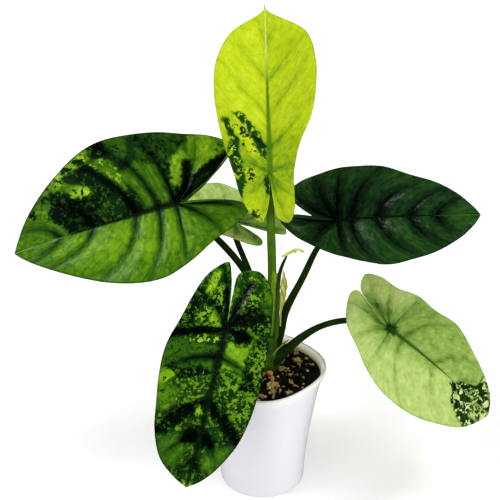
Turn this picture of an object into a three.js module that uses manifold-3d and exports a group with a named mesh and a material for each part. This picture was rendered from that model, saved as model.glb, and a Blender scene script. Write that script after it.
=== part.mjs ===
// A potted alocasia with six variegated leaves, in millimetres, +Z up.
// The origin is the centre of the pot's underside. -Y is the front, where the upper sides of the leaves look.
//
// Each blade is a height field over its own flat outline. The outline gives the lobes, the belly and the tip.
// The height gives the fold along the midrib, the arch, the quilting between the veins and the waved margin.
import * as THREE from "three";
import { mergeVertices } from "three/addons/utils/BufferGeometryUtils.js";
import Module from "manifold-3d";

const wasm = await Module();
wasm.setup();

// Pieces that touch are kept this far apart, and edges shorter than a sliver are tidied off a cut.
const CLEAR = 0.3;
const SLIVER = 0.05;

// The pot: round at the foot, a rounded square at the rim, with its corners on the X and Y axes.
const POT_HEIGHT = 127;
const FOOT_RADIUS = 41.2;
const FOOT_ROUNDING = 1.2;
const FLARE = 15;
const FLARE_HEIGHT = 118;
const FLARE_POWER = 1.6;
const RIM_RADIUS = 60;
const RIM_SQUARENESS = 0.07;
const SQUARENESS_POWER = 1.3;
const LIP_HEIGHT = 7;
const LIP_WIDTH = 3;
const WALL = 1.8;
const POT_FLOOR = 2.4;
const POT_SIDES = 40;
const WALL_LEVELS = [1.5, 25, 50, 75, 100];
const DRAIN_HOLES = 6;
const DRAIN_RADIUS = 4;
const DRAIN_RING = 26;

// The potting mix: bark and pumice, a little below the rim, heaped round the stem.
const SOIL_LEVEL = 120;
const SOIL_MOUND = 2;
const MOUND_RADIUS = 30;
const CHIPS = 40;
const CHIP_RADIUS = [4, 7];
const CHIP_LENGTH = 1.25;
const SUNFLOWER_ANGLE = 2.39996;

// The stem: a corm in the mix and a short neck of leaf bases above it, as [radius, height].
const STEM_X = 4;
const STEM_Y = 4;
const STEM_SIDES = 14;
const STEM_PROFILE = [
  [0, 84],
  [8, 88],
  [13, 97],
  [14, 107],
  [12.5, 116],
  [12.5, 126],
  [11.6, 138],
  [11.8, 141],
  [10.2, 152],
  [10.4, 155],
  [8.4, 166],
  [0, 169],
];

// Where along the blade, from petiole to tip, the half-widths are given.
const STATIONS = [0, 0.17, 0.34, 0.51, 0.68, 0.84, 0.95];
// Where the lobe's half-widths are given: inner ones as shares of its free length, outer ones of all of it.
const INNER_AT = [0.45, 0.88];
const OUTER_AT = [0.75, 0.38];
// The margin has this many spans between those places, and is indexed by them from where the lobes part.
const MARGIN_SPANS = 13;

// A blade's numbers. attach is where the petiole meets it, and face is where its upper side looks.
// left and right are as seen on the upper side with the tip pointing away. In each, lobe is the lobe's length
// behind the petiole, inner and outer are the half-widths of its edges, centre is the middle of its end,
// and width is the half-width at each station. sinus is how far behind the petiole the lobes part, and swing
// is how far the lobes lean to the left. sweep is how much the side veins bend towards the tip, quilt is the
// height of the swellings, and wave that of the margin.
// veins lists the side veins from the lobes to the tip. Each row gives where the vein leaves the midrib, as a
// share of the blade, and the margin index where it ends on the left and on the right.
const LEAVES = [
  {
    name: "young_top",
    attach: [5, 2, 324],
    tip: [0, 49, 456.5],
    face: [-0.02, -0.94, 0.33],
    fold: 8,
    arch: 2,
    sinus: 4,
    swing: 0,
    sweep: 0.15,
    quilt: 1.6,
    wave: 1.2,
    left: {
      lobe: 43,
      inner: [1.2, 5],
      centre: 10,
      outer: [20, 27],
      width: [31, 38, 43, 45, 42, 29, 3.5],
    },
    right: {
      lobe: 44,
      inner: [1.5, 5],
      centre: 15,
      outer: [20, 20.5],
      width: [20.5, 26, 36.5, 41, 41, 33, 4.5],
    },
    veins: [
      [0, 3.2, 3.2], [0, 4.7, 4.7], [0, 6.9, 6.4], [0.14, 8.6, 8.9], [0.34, 10.1, 10.4],
      [0.55, 11, 11], [0.76, 11.8, 11.8], [1, 13, 13],
    ],
    colour: 0xa6c81e,
  },
  {
    name: "broad_left",
    attach: [-78, 28, 281.5],
    tip: [-225, 12, 239],
    face: [-0.08, -0.81, 0.58],
    fold: 12,
    arch: 8,
    sinus: 10,
    swing: -9,
    sweep: 0.65,
    quilt: 4,
    wave: 2.2,
    left: {
      lobe: 60,
      inner: [7.5, 20],
      centre: 31,
      outer: [38.5, 45],
      width: [54.5, 63, 61, 51.5, 37.5, 21.5, 8],
    },
    right: {
      lobe: 62,
      inner: [10, 23],
      centre: 32,
      outer: [46, 56],
      width: [66, 70, 69.5, 62.5, 48, 28, 11],
    },
    veins: [
      [0, 3.2, 3.2], [0, 4.6, 4.6], [0, 6.2, 6.8], [0.1, 7.6, 8.2], [0.235, 9.1, 9.2],
      [0.49, 10.7, 10.6], [0.7, 11.6, 11.6], [1, 13, 13],
    ],
    colour: 0x3f7a1c,
  },
  {
    name: "dark_right",
    attach: [66, 26, 266.5],
    tip: [194.5, 22, 273.5],
    face: [-0.06, -0.8, 0.6],
    fold: 10,
    arch: 6,
    sinus: 22,
    swing: 17,
    sweep: 0.65,
    quilt: 4,
    wave: 1.8,
    left: {
      lobe: 43.5,
      inner: [3.5, 8],
      centre: 14,
      outer: [27, 38],
      width: [46, 46.5, 44.5, 37.5, 30, 19, 8],
    },
    right: {
      lobe: 51,
      inner: [3, 9.5],
      centre: 16.5,
      outer: [25, 29],
      width: [33, 40, 44, 39.5, 33, 21.5, 9],
    },
    veins: [
      [0, 3.3, 3.2], [0, 4.9, 4.8], [0, 6.2, 6.5], [0.095, 8, 7.7], [0.28, 9.7, 9.3],
      [0.51, 10.6, 10.4], [0.69, 11.3, 11.3], [1, 13, 13],
    ],
    colour: 0x1f4a24,
  },
  {
    name: "mottled_front",
    attach: [-33, -54, 201],
    tip: [-68, -112, 74.5],
    face: [0.09, -0.91, 0.39],
    fold: 6,
    arch: 6,
    sinus: 8,
    swing: -4,
    sweep: 0.65,
    quilt: 3.6,
    wave: 1.6,
    left: {
      lobe: 54,
      inner: [0.5, 4],
      centre: 22,
      outer: [34, 37.5],
      width: [38.5, 40, 40, 38, 33, 21.5, 9],
    },
    right: {
      lobe: 56,
      inner: [0.5, 3.5],
      centre: 8,
      outer: [23.5, 34],
      width: [41, 47.5, 47.5, 44, 39.5, 29.5, 12],
    },
    veins: [
      [0, 3.3, 3.3], [0, 4.7, 4.7], [0, 6.3, 6.6], [0.17, 8, 8], [0.45, 10, 10],
      [0.66, 11.1, 11.1], [0.83, 12, 12], [1, 13, 13],
    ],
    colour: 0x2f5f1c,
  },
  {
    name: "pale_right",
    attach: [118, 0, 166.5],
    tip: [212, -24, 86],
    face: [0.28, -0.78, 0.56],
    fold: 8,
    arch: 8,
    sinus: 8,
    swing: 16,
    sweep: 0.65,
    quilt: 2,
    wave: 1.6,
    left: {
      lobe: 47,
      inner: [0.6, 1],
      centre: 13,
      outer: [25, 31],
      width: [40.5, 40, 41.5, 36.5, 29, 19, 10],
    },
    right: {
      lobe: 47,
      inner: [0.5, 1.5],
      centre: 13,
      outer: [31, 37.5],
      width: [44.5, 53, 55, 51, 42, 30, 13],
    },
    veins: [
      [0, 3.3, 3.3], [0, 4.7, 4.7], [0, 6.2, 6.2], [0.1, 8.3, 8.3], [0.4, 10, 10.2],
      [0.64, 11.1, 11.1], [0.82, 12, 12], [1, 13, 13],
    ],
    colour: 0xa5bf6c,
  },
  {
    name: "pale_back",
    attach: [-29, 95, 230],
    tip: [-132.5, 154, 220.5],
    face: [-0.12, -0.05, 0.99],
    fold: 17,
    arch: 3,
    sinus: 7,
    swing: 10,
    sweep: 0.65,
    quilt: 1.8,
    wave: 1.6,
    left: {
      lobe: 45,
      inner: [4, 9],
      centre: 17,
      outer: [29, 36.5],
      width: [40.5, 44, 44, 38.5, 30.5, 19.5, 8],
    },
    right: {
      lobe: 56,
      inner: [4, 9],
      centre: 17,
      outer: [29, 36.5],
      width: [39.5, 42, 42, 37.5, 30.5, 19.5, 8],
    },
    veins: [
      [0, 3.3, 3.3], [0, 4.7, 4.7], [0, 6.3, 6.3], [0.12, 8, 8], [0.32, 9.6, 9.6],
      [0.54, 10.7, 10.7], [0.76, 11.7, 11.7], [1, 13, 13],
    ],
    colour: 0x9ab765,
  },
];

// The blade's thickness, and how far the midrib stands out below it at the petiole.
const BLADE_THICKNESS = 1.1;
const MIDRIB_DEPTH = 2.6;
const MIDRIB_HALF_WIDTH = 3.2;
// The blade's sampling, from vein to vein and from the midrib out.
const STEPS_PER_VEIN = 4;
const ACROSS = [0, 0.1, 0.3, 0.55, 0.8, 1];
// How strongly the side veins sweep forward near the margin, and how much those of the lobes bend back.
const LOBE_BEND = 0.8;
// How the surface is rounded: the fold at the midrib, the swellings and the waves.
const FOLD_SOFTNESS = 4;
const QUILT_FULLNESS = 0.6;
const QUILT_CREASE = 0.9;
const LOBE_CREASE = 1.6;
const QUILT_CALM = 25;
const WAVE_TURN = 2.1;
const WAVE_CALM = 12;

// A petiole's path starts in the stem and goes on from its last point to its blade's midrib.
// radii are at the stem, half way and the blade.
const PETIOLE_SIDES = 10;
const PETIOLE_STEPS = 12;
const BLADE_OVERRUN = 8;
const PETIOLES = [
  {
    leaf: "young_top",
    path: [[5, 4, 152], [7.5, 0, 200], [7.4, -2, 235], [5.6, -0.5, 285]],
    radii: [4.4, 3.9, 3.3],
    colour: 0x5d8f1f,
  },
  {
    leaf: "dark_right",
    path: [[11, 6, 139], [16.5, 8, 160], [20.4, 11, 178.5], [36, 17, 211], [50, 22, 241.5]],
    radii: [4.6, 3.2, 2.3],
    colour: 0x1d3a12,
  },
  {
    leaf: "broad_left",
    path: [[-1, 5, 148], [-6, 9, 180], [-14, 13, 214.5], [-40.3, 21, 248]],
    radii: [4.6, 3.2, 2.7],
    colour: 0x2c5212,
  },
  {
    leaf: "pale_back",
    path: [[4, 12, 138], [0, 30, 155.5], [-6, 50, 172.5], [-14, 70, 191], [-25.4, 88, 213.5]],
    radii: [4.2, 3.1, 2.6],
    colour: 0x1f3d10,
  },
  {
    leaf: "mottled_front",
    path: [[0, 0, 132], [-9, -14, 160], [-18, -32, 188], [-25, -45, 199]],
    radii: [4.6, 3.7, 3.1],
    colour: 0x2b4f12,
  },
  {
    leaf: "pale_right",
    path: [[6, 2, 122], [13, -2, 134], [34.5, 0, 156.5], [55, 6, 166.5], [81.4, 14, 167.2], [103, 10, 163.5]],
    radii: [5.2, 2.9, 2.5],
    colour: 0x24430f,
  },
];

// The young leaf's sheath wraps its petiole above the neck of the stem.
const SHEATH = { path: [[7, 3, 162], [9, 0, 200], [9.2, -1.5, 233]], radii: [7.4, 6.2, 4.7] };

// Two spent leaf sheaths: a horn with a shrivelled tip lying across its end, and a dry papery strip.
const HORN = {
  path: [
    [12, -4, 160], [12.8, -4.6, 190], [13, -4.6, 213],
    [14.4, -4, 228], [17.4, -3.6, 238.5], [20.6, -3.6, 246],
  ],
  radii: [2, 2, 1],
};
const HORN_TIP = {
  path: [[15.7, -3.2, 244.6], [21.6, -3.6, 247.8], [26.7, -4, 250.9], [30.4, -4.4, 252.3], [35.9, -5, 250]],
  radii: [1.1, 1.9, 1.2],
};
const DRY_STRIP = {
  path: [[15.9, 2.8, 168], [16.4, 4.4, 186], [18.2, 4.8, 202], [18.8, 5, 214], [18, 5, 226]],
  radii: [1.4, 3.1, 0.9],
};
const STRIP_FLATNESS = 0.4;

// A small repeatable source of numbers from 0 to 1.
function randomSource(seed) {
  let state = seed;
  return () => {
    state = (state * 1664525 + 1013904223) % 4294967296;
    return state / 4294967296;
  };
}

function indexedGeometry(positions, triangles) {
  const geometry = new THREE.BufferGeometry();
  geometry.setAttribute("position", new THREE.Float32BufferAttribute(positions, 3));
  geometry.setIndex(triangles);
  return geometry;
}

// A solid from a closed surface. Points that lie together become one, and triangles of no size go.
function solidOf(geometry) {
  const bare = new THREE.BufferGeometry();
  bare.setAttribute("position", geometry.getAttribute("position").clone());
  bare.setIndex(geometry.index ? geometry.index.clone() : null);
  const merged = mergeVertices(bare, 1e-3);
  const index = merged.index.array;
  const kept = [];
  for (let i = 0; i < index.length; i += 3) {
    const [a, b, c] = [index[i], index[i + 1], index[i + 2]];
    if (a !== b && b !== c && c !== a) kept.push(a, b, c);
  }
  return new wasm.Manifold(
    new wasm.Mesh({
      numProp: 3,
      vertProperties: merged.attributes.position.array,
      triVerts: new Uint32Array(kept),
    }),
  );
}

function geometryOf(solid) {
  const mesh = solid.getMesh();
  const positions = [];
  for (let i = 0; i < mesh.numVert; i++) {
    positions.push(...mesh.vertProperties.subarray(i * mesh.numProp, i * mesh.numProp + 3));
  }
  return indexedGeometry(positions, Array.from(mesh.triVerts));
}

// Cuts can leave slivers and scraps, and only the largest body is the piece.
function largestBody(solid) {
  const bodies = solid.simplify(SLIVER).decompose();
  const largest = bodies.reduce((best, body) => (body.volume() > best.volume() ? body : best));
  return largest;
}

function node(name, geometry, colour, roughness) {
  const material = new THREE.MeshStandardMaterial({ color: colour, roughness, metalness: 0 });
  const mesh = new THREE.Mesh(geometry, material);
  mesh.name = name;
  return mesh;
}

// The radius of the pot's outer wall at a height, towards a corner of the rim.
function wallRadius(z) {
  return FOOT_RADIUS + FLARE * Math.pow(Math.max(z, 0) / FLARE_HEIGHT, FLARE_POWER);
}

// How much less the pot's radius is on its flats than on its corners, at a height.
function squareness(z) {
  const share = Math.min(Math.max(z, 0) / POT_HEIGHT, 1);
  return RIM_SQUARENESS * Math.pow(share, SQUARENESS_POWER);
}

// One closed body through a stack of rings, each { z, r }, with height(x, y, z) added to each point.
function ringLoft(rings, height = () => 0) {
  const positions = [];
  const triangles = [];
  const centre = (z) => positions.push(0, 0, z + height(0, 0, z)) / 3 - 1;
  const first = centre(rings[0].z);
  const starts = rings.map(({ z, r }) => {
    const start = positions.length / 3;
    for (let i = 0; i < POT_SIDES; i++) {
      const angle = (2 * Math.PI * i) / POT_SIDES;
      const reach = r * (1 - (squareness(z) / 2) * (1 - Math.cos(4 * angle)));
      const [x, y] = [reach * Math.cos(angle), reach * Math.sin(angle)];
      positions.push(x, y, z + height(x, y, z));
    }
    return start;
  });
  const top = starts[starts.length - 1];
  const last = centre(rings[rings.length - 1].z);
  for (let i = 0; i < POT_SIDES; i++) {
    const next = (i + 1) % POT_SIDES;
    triangles.push(first, starts[0] + next, starts[0] + i, last, top + i, top + next);
    for (let k = 0; k + 1 < starts.length; k++) {
      const [low, high] = [starts[k], starts[k + 1]];
      triangles.push(low + i, low + next, high + next, low + i, high + next, high + i);
    }
  }
  return indexedGeometry(positions, triangles);
}

function potSolid() {
  const lipFoot = POT_HEIGHT - LIP_HEIGHT;
  const outside = WALL_LEVELS.map((z) => ({ z, r: wallRadius(z) }));
  const inside = WALL_LEVELS.slice(1).map((z) => ({ z, r: wallRadius(z) - WALL }));
  let pot = solidOf(
    ringLoft([
      { z: 0, r: FOOT_RADIUS - FOOT_ROUNDING },
      ...outside,
      { z: lipFoot - 0.5, r: wallRadius(lipFoot) },
      { z: lipFoot, r: RIM_RADIUS - 1.6 },
      { z: POT_HEIGHT - 1, r: RIM_RADIUS },
      { z: POT_HEIGHT, r: RIM_RADIUS - 0.9 },
      { z: POT_HEIGHT, r: RIM_RADIUS - LIP_WIDTH },
      { z: lipFoot, r: wallRadius(lipFoot) - WALL },
      ...inside.reverse(),
      { z: POT_FLOOR, r: wallRadius(POT_FLOOR) - WALL },
    ]),
  );
  for (let i = 0; i < DRAIN_HOLES; i++) {
    const angle = (2 * Math.PI * (i + 0.5)) / DRAIN_HOLES;
    const hole = new THREE.CylinderGeometry(DRAIN_RADIUS, DRAIN_RADIUS, 4 * POT_FLOOR, 12);
    hole.rotateX(Math.PI / 2);
    hole.translate(DRAIN_RING * Math.cos(angle), DRAIN_RING * Math.sin(angle), POT_FLOOR);
    pot = pot.subtract(solidOf(hole));
  }
  return pot;
}

// Rings for the space inside the pot, drawn in by the clearance, up to a given height.
function potInside(top) {
  const lipFoot = POT_HEIGHT - LIP_HEIGHT;
  const levels = [POT_FLOOR + CLEAR, ...WALL_LEVELS.slice(1), top];
  return levels.map((z) => ({ z, r: wallRadius(Math.min(z, lipFoot)) - WALL - CLEAR }));
}

// The mix heaps a little round the stem and is uneven all over.
function soilLumps(x, y) {
  const distance = Math.hypot(x - STEM_X, y - STEM_Y);
  const heap = SOIL_MOUND * Math.exp(-((distance / MOUND_RADIUS) ** 2));
  return heap + 0.7 * Math.sin(x * 0.33 + 1.1) * Math.cos(y * 0.29) + 0.5 * Math.sin(x * 0.71 - y * 0.64);
}

function pottingMixSolid() {
  const random = randomSource(20817);
  const wall = potInside(SOIL_LEVEL - 1);
  const edge = wall[wall.length - 1].r;
  const top = [0.86, 0.6, 0.3].map((share) => ({ z: SOIL_LEVEL, r: edge * share }));
  const uneven = (x, y, z) => (z === SOIL_LEVEL ? soilLumps(x, y) : 0);
  let mix = solidOf(ringLoft([...wall, ...top], uneven));
  // Chips lie in a sunflower spiral, so that they cover the mix evenly, and stay clear of the wall.
  const flats = edge * (1 - squareness(SOIL_LEVEL)) - 1;
  for (let i = 0; i < CHIPS; i++) {
    const size = THREE.MathUtils.lerp(...CHIP_RADIUS, random());
    const reach = (flats - CHIP_LENGTH * size) * Math.sqrt((i + 0.5) / CHIPS);
    const angle = i * SUNFLOWER_ANGLE + 0.5 * random();
    const [x, y] = [reach * Math.cos(angle), reach * Math.sin(angle)];
    const chip = new THREE.IcosahedronGeometry(size, 0);
    chip.scale(CHIP_LENGTH, 0.85, 0.55 + 0.3 * random());
    chip.rotateX(0.9 * (random() - 0.5));
    chip.rotateZ(Math.PI * random());
    chip.translate(x, y, SOIL_LEVEL + soilLumps(x, y) + 0.15 * size);
    mix = mix.add(solidOf(chip));
  }
  return mix;
}

function stemSolid(grow = 0) {
  const profile = STEM_PROFILE.map(([r, z], i) => {
    const end = i === 0 ? -1 : i === STEM_PROFILE.length - 1 ? 1 : 0;
    return new THREE.Vector2(end ? 0 : r + grow, z + end * grow);
  });
  const stem = new THREE.LatheGeometry(profile, STEM_SIDES);
  stem.rotateX(Math.PI / 2);
  stem.translate(STEM_X, STEM_Y, 0);
  return solidOf(stem);
}

// A closed tube along a smooth path. grow widens it all round, overrun carries it on past its end,
// and flatness squeezes its section.
function taperedTube({ path, radii }, { grow = 0, flatness = 1, overrun = 0 } = {}) {
  const points = path.map((p) => new THREE.Vector3(...p));
  const curve = new THREE.CatmullRomCurve3(points, false, "centripetal");
  const frames = curve.computeFrenetFrames(PETIOLE_STEPS, false);
  const middles = [];
  const positions = [];
  const triangles = [];
  for (let k = 0; k <= PETIOLE_STEPS; k++) {
    const u = k / PETIOLE_STEPS;
    const middle = curve.getPointAt(u);
    if (k === 0) middle.addScaledVector(frames.tangents[k], -grow);
    if (k === PETIOLE_STEPS) middle.addScaledVector(frames.tangents[k], overrun + grow);
    middles.push(middle);
    const half = u < 0.5 ? 0 : 1;
    const radius = THREE.MathUtils.lerp(radii[half], radii[half + 1], 2 * u - half) + grow;
    for (let i = 0; i < PETIOLE_SIDES; i++) {
      const angle = (2 * Math.PI * i) / PETIOLE_SIDES;
      const point = middle.clone();
      point.addScaledVector(frames.normals[k], radius * Math.cos(angle));
      point.addScaledVector(frames.binormals[k], radius * flatness * Math.sin(angle));
      positions.push(...point);
    }
  }
  const [first, last] = [middles[0], middles[PETIOLE_STEPS]].map((p) => positions.push(...p) / 3 - 1);
  const lastRing = PETIOLE_STEPS * PETIOLE_SIDES;
  for (let i = 0; i < PETIOLE_SIDES; i++) {
    const next = (i + 1) % PETIOLE_SIDES;
    triangles.push(first, next, i, last, lastRing + i, lastRing + next);
    for (let k = 0; k < PETIOLE_STEPS; k++) {
      const [low, high] = [k * PETIOLE_SIDES, (k + 1) * PETIOLE_SIDES];
      triangles.push(low + i, low + next, high + next, low + i, high + next, high + i);
    }
  }
  return solidOf(indexedGeometry(positions, triangles));
}

// The margin of half a blade, as [along, across]: from where the lobes part, round the lobe, to the tip.
function marginCurve(leaf, half, length) {
  const { lobe, inner, centre, outer, width } = half;
  const points = [
    [-leaf.sinus, 0],
    ...INNER_AT.map((share, i) => [-leaf.sinus - share * (lobe - leaf.sinus), inner[i]]),
    [-lobe, centre],
    ...OUTER_AT.map((share, i) => [-share * lobe, outer[i]]),
    ...STATIONS.map((share, i) => [share * length, width[i]]),
    [length, 0],
  ];
  return new THREE.SplineCurve(points.map(([s, t]) => new THREE.Vector2(s, t)));
}

// A column of the list of veins at a phase, which counts the veins from where the lobes part to the tip.
function betweenVeins(leaf, phase, column) {
  const values = [0, ...leaf.veins.map((vein) => vein[column])];
  const k = Math.min(Math.floor(phase), values.length - 2);
  return THREE.MathUtils.lerp(values[k], values[k + 1], phase - k);
}

// How much of its way along the blade a row has gone at a share r of its way out to the margin.
function rowCourse(leaf, ahead, phase, r) {
  if (ahead > 0) return THREE.MathUtils.lerp(r, r ** 3, leaf.sweep);
  return r + LOBE_BEND * Math.min(1, phase) * r * (1 - r);
}

// How far the lobes have leaned to the left at a place behind the petiole.
function lobeLean(leaf, s) {
  const lobe = (leaf.left.lobe + leaf.right.lobe) / 2;
  return leaf.swing * Math.pow(Math.max(0, -s) / lobe, 1.5);
}

// Height above the blade's own plane. The row of a phase ends at margin index j, a width out from the midrib.
// r is the share of the way out to there, and the place is s along the blade and t across it.
function bladeHeight(leaf, length, { phase, j, width }, r, s, t) {
  const x = s / length;
  const across = Math.hypot(t, FOLD_SOFTNESS) - FOLD_SOFTNESS;
  const fold = across * Math.sin(THREE.MathUtils.degToRad(leaf.fold));
  const arch = 4 * leaf.arch * x * (1 - x);
  const swell = Math.abs(Math.sin(Math.PI * phase)) ** (phase < 1 ? LOBE_CREASE : QUILT_CREASE);
  const quilt = leaf.quilt * swell * Math.min(1, width / QUILT_CALM) * (4 * r * (1 - r)) ** QUILT_FULLNESS;
  const wave = leaf.wave * r ** 3 * Math.sin(WAVE_TURN * j + leaf.swing);
  return arch + fold + quilt + wave * Math.min(1, Math.abs(t) / WAVE_CALM);
}

// A blade's own axes: along it to the tip, up from its upper side and to its left.
function bladeAxes(leaf) {
  const attach = new THREE.Vector3(...leaf.attach);
  const along = new THREE.Vector3(...leaf.tip).sub(attach);
  const length = along.length();
  along.normalize();
  const up = new THREE.Vector3(...leaf.face);
  up.addScaledVector(along, -up.dot(along)).normalize();
  const left = new THREE.Vector3().crossVectors(up, along);
  return { attach, along, up, left, length };
}

// A blade. Its upper and under sides have the same triangles.
function bladeSolid(leaf) {
  const { attach, along, up, left, length } = bladeAxes(leaf);
  const positions = [];
  const triangles = [];
  const place = (s, t, height) => {
    const point = attach.clone().addScaledVector(along, s);
    point.addScaledVector(left, t).addScaledVector(up, height);
    return positions.push(...point) / 3 - 1;
  };
  const quad = (a, b, c, d, outward) => {
    if (outward) triangles.push(a, b, c, a, c, d);
    else triangles.push(a, c, b, a, d, c);
  };

  const steps = leaf.veins.length * STEPS_PER_VEIN;
  const edge = ACROSS.length - 1;
  for (const [half, sign, column] of [[leaf.left, 1, 1], [leaf.right, -1, 2]]) {
    const margin = marginCurve(leaf, half, length);
    const upper = [];
    const under = [];
    for (let i = 0; i <= steps; i++) {
      const phase = i / STEPS_PER_VEIN;
      const j = betweenVeins(leaf, phase, column);
      const root = length * betweenVeins(leaf, phase, 0);
      const end = margin.getPoint(j / MARGIN_SPANS);
      const row = { phase, j, width: end.y };
      for (const r of ACROSS) {
        const s = root + (end.x - root) * rowCourse(leaf, end.x - root, phase, r);
        const t = sign * r * end.y;
        const height = bladeHeight(leaf, length, row, r, s, t);
        const aside = Math.hypot(t, Math.min(s, 0)) / MIDRIB_HALF_WIDTH;
        const rib = MIDRIB_DEPTH * Math.exp(-aside * aside) * (1 - Math.max(s, 0) / length);
        const leant = t + lobeLean(leaf, s);
        upper.push(place(s, leant, height));
        under.push(place(s, leant, height - BLADE_THICKNESS - rib));
      }
    }
    for (let i = 0; i < steps; i++) {
      const [row, next] = [i * ACROSS.length, (i + 1) * ACROSS.length];
      for (let k = 0; k < edge; k++) {
        const corners = [row + k, next + k, next + k + 1, row + k + 1];
        quad(...corners.map((c) => upper[c]), sign > 0);
        quad(...corners.map((c) => under[c]), sign < 0);
      }
      quad(upper[row + edge], upper[next + edge], under[next + edge], under[row + edge], sign > 0);
    }
  }
  return solidOf(indexedGeometry(positions, triangles));
}

// A petiole, ending flat against the thick end of its blade's midrib.
function petioleSolid(petiole, grow = 0) {
  const { attach, up } = bladeAxes(LEAVES.find(({ name }) => name === petiole.leaf));
  const seat = attach.addScaledVector(up, -(BLADE_THICKNESS + MIDRIB_DEPTH + CLEAR));
  const path = [...petiole.path, seat.toArray()];
  const tube = taperedTube({ path, radii: petiole.radii }, { grow, overrun: BLADE_OVERRUN });
  return tube.trimByPlane(up.clone().negate().toArray(), -up.dot(seat));
}

const plant = new THREE.Group();

for (const leaf of LEAVES) {
  plant.add(node(`leaf_blade_${leaf.name}`, geometryOf(bladeSolid(leaf)), leaf.colour, 0.35));
}

// Each piece at the crown is cut to clasp the ones before it, which stay whole.
const crown = [];
function seat(solid) {
  return largestBody(crown.reduce((rest, other) => rest.subtract(other), solid));
}

for (const petiole of PETIOLES) {
  plant.add(node(`petiole_${petiole.leaf}`, geometryOf(seat(petioleSolid(petiole))), petiole.colour, 0.5));
  crown.push(petioleSolid(petiole, CLEAR));
}

plant.add(node("leaf_sheath", geometryOf(seat(taperedTube(SHEATH))), 0x7fae2a, 0.5));
crown.push(taperedTube(SHEATH, { grow: CLEAR }));

plant.add(node("stem_and_corm", geometryOf(seat(stemSolid())), 0x4a5f1e, 0.6));
crown.push(stemSolid(CLEAR));

const hornSolid = (options) => taperedTube(HORN, options).add(taperedTube(HORN_TIP, options));
plant.add(node("spent_sheath_horn", geometryOf(seat(hornSolid())), 0x8f9c3a, 0.7));
crown.push(hornSolid({ grow: CLEAR }));

const flat = { flatness: STRIP_FLATNESS };
plant.add(node("spent_sheath_dry", geometryOf(seat(taperedTube(DRY_STRIP, flat))), 0xc9b545, 0.8));
crown.push(taperedTube(DRY_STRIP, { grow: CLEAR, ...flat }));

plant.add(node("potting_mix", geometryOf(seat(pottingMixSolid())), 0x2a1710, 0.9));
plant.add(node("pot", geometryOf(potSolid()), 0xf2f2f4, 0.3));

export default plant;
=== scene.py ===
# %% [markdown]
# # A potted alocasia with six variegated leaves
# The plant stands in a white nursery pot. Each leaf is a heart-shaped blade on a long round stalk, and the
# blades are quilted between their veins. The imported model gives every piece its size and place. This lesson
# replaces each plain solid with a fine one in the same place, and gives it the finish of the real thing.

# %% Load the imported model
import math
import random
from functools import partial

import bpy
import numpy as np
from mathutils import Matrix, Vector, noise


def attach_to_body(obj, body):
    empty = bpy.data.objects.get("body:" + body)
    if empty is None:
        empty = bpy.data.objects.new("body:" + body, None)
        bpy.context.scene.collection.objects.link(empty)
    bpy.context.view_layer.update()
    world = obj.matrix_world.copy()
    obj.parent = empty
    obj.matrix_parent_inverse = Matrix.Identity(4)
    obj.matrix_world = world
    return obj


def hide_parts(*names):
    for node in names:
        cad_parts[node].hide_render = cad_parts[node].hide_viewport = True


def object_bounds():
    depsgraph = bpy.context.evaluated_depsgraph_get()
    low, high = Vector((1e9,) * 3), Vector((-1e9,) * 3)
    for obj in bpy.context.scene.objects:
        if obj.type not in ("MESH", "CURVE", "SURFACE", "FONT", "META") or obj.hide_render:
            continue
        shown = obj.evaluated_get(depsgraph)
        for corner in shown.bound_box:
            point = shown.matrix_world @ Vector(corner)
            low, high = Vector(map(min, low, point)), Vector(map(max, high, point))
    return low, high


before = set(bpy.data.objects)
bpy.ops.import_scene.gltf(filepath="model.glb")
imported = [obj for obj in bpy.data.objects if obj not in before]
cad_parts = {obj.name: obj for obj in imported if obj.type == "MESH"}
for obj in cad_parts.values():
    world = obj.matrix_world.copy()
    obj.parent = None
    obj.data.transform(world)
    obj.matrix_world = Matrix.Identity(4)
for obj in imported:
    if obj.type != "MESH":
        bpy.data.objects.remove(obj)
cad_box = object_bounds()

print("the packed model has", len(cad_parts), "nodes")
print("its box runs from", [round(v, 4) for v in cad_box[0]], "to", [round(v, 4) for v in cad_box[1]])

# %% [markdown]
# ## Working by hand, in code
# An operator acts on all that is selected, and the imported nodes are selected when the file opens. So each
# piece starts with nothing selected. The tables below are in millimetres, because a leaf is easier to read
# in millimetres, and points are turned to metres when a mesh is written.

# %% Small helpers for meshes
MM = 0.001


def add_piece(name, add, **settings):
    """Runs one of Blender's add operators with nothing else selected, and names what it adds."""
    bpy.ops.object.select_all(action="DESELECT")
    add(**settings)
    piece = bpy.context.object
    piece.name = piece.data.name = name
    return piece


def pick(piece):
    bpy.ops.object.select_all(action="DESELECT")
    piece.select_set(True)
    bpy.context.view_layer.objects.active = piece


def values_of(items, key, width=1, kind=np.float32):
    flat = np.empty(len(items) * width, dtype=kind)
    items.foreach_get(key, flat)
    return flat.reshape(-1, width) if width > 1 else flat


def points_of(piece):
    return values_of(piece.data.vertices, "co", 3).astype(float) / MM


def place_points(piece, points):
    piece.data.vertices.foreach_set("co", (np.asarray(points) * MM).astype(np.float32).ravel())
    piece.data.update()


def finish_edges(piece, closed):
    """Joins the points that lie together, and turns a closed piece's faces outwards."""
    pick(piece)
    bpy.ops.object.mode_set(mode="EDIT")
    bpy.ops.mesh.select_all(action="SELECT")
    bpy.ops.mesh.remove_doubles(threshold=0.002 * MM)
    if closed:
        bpy.ops.mesh.normals_make_consistent(inside=False)
    bpy.ops.object.mode_set(mode="OBJECT")


def apply_all(piece):
    pick(piece)
    for modifier in list(piece.modifiers):
        bpy.ops.object.modifier_apply(modifier=modifier.name)


def smooth(piece, degrees):
    pick(piece)
    bpy.ops.object.shade_smooth_by_angle(angle=math.radians(degrees))


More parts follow.
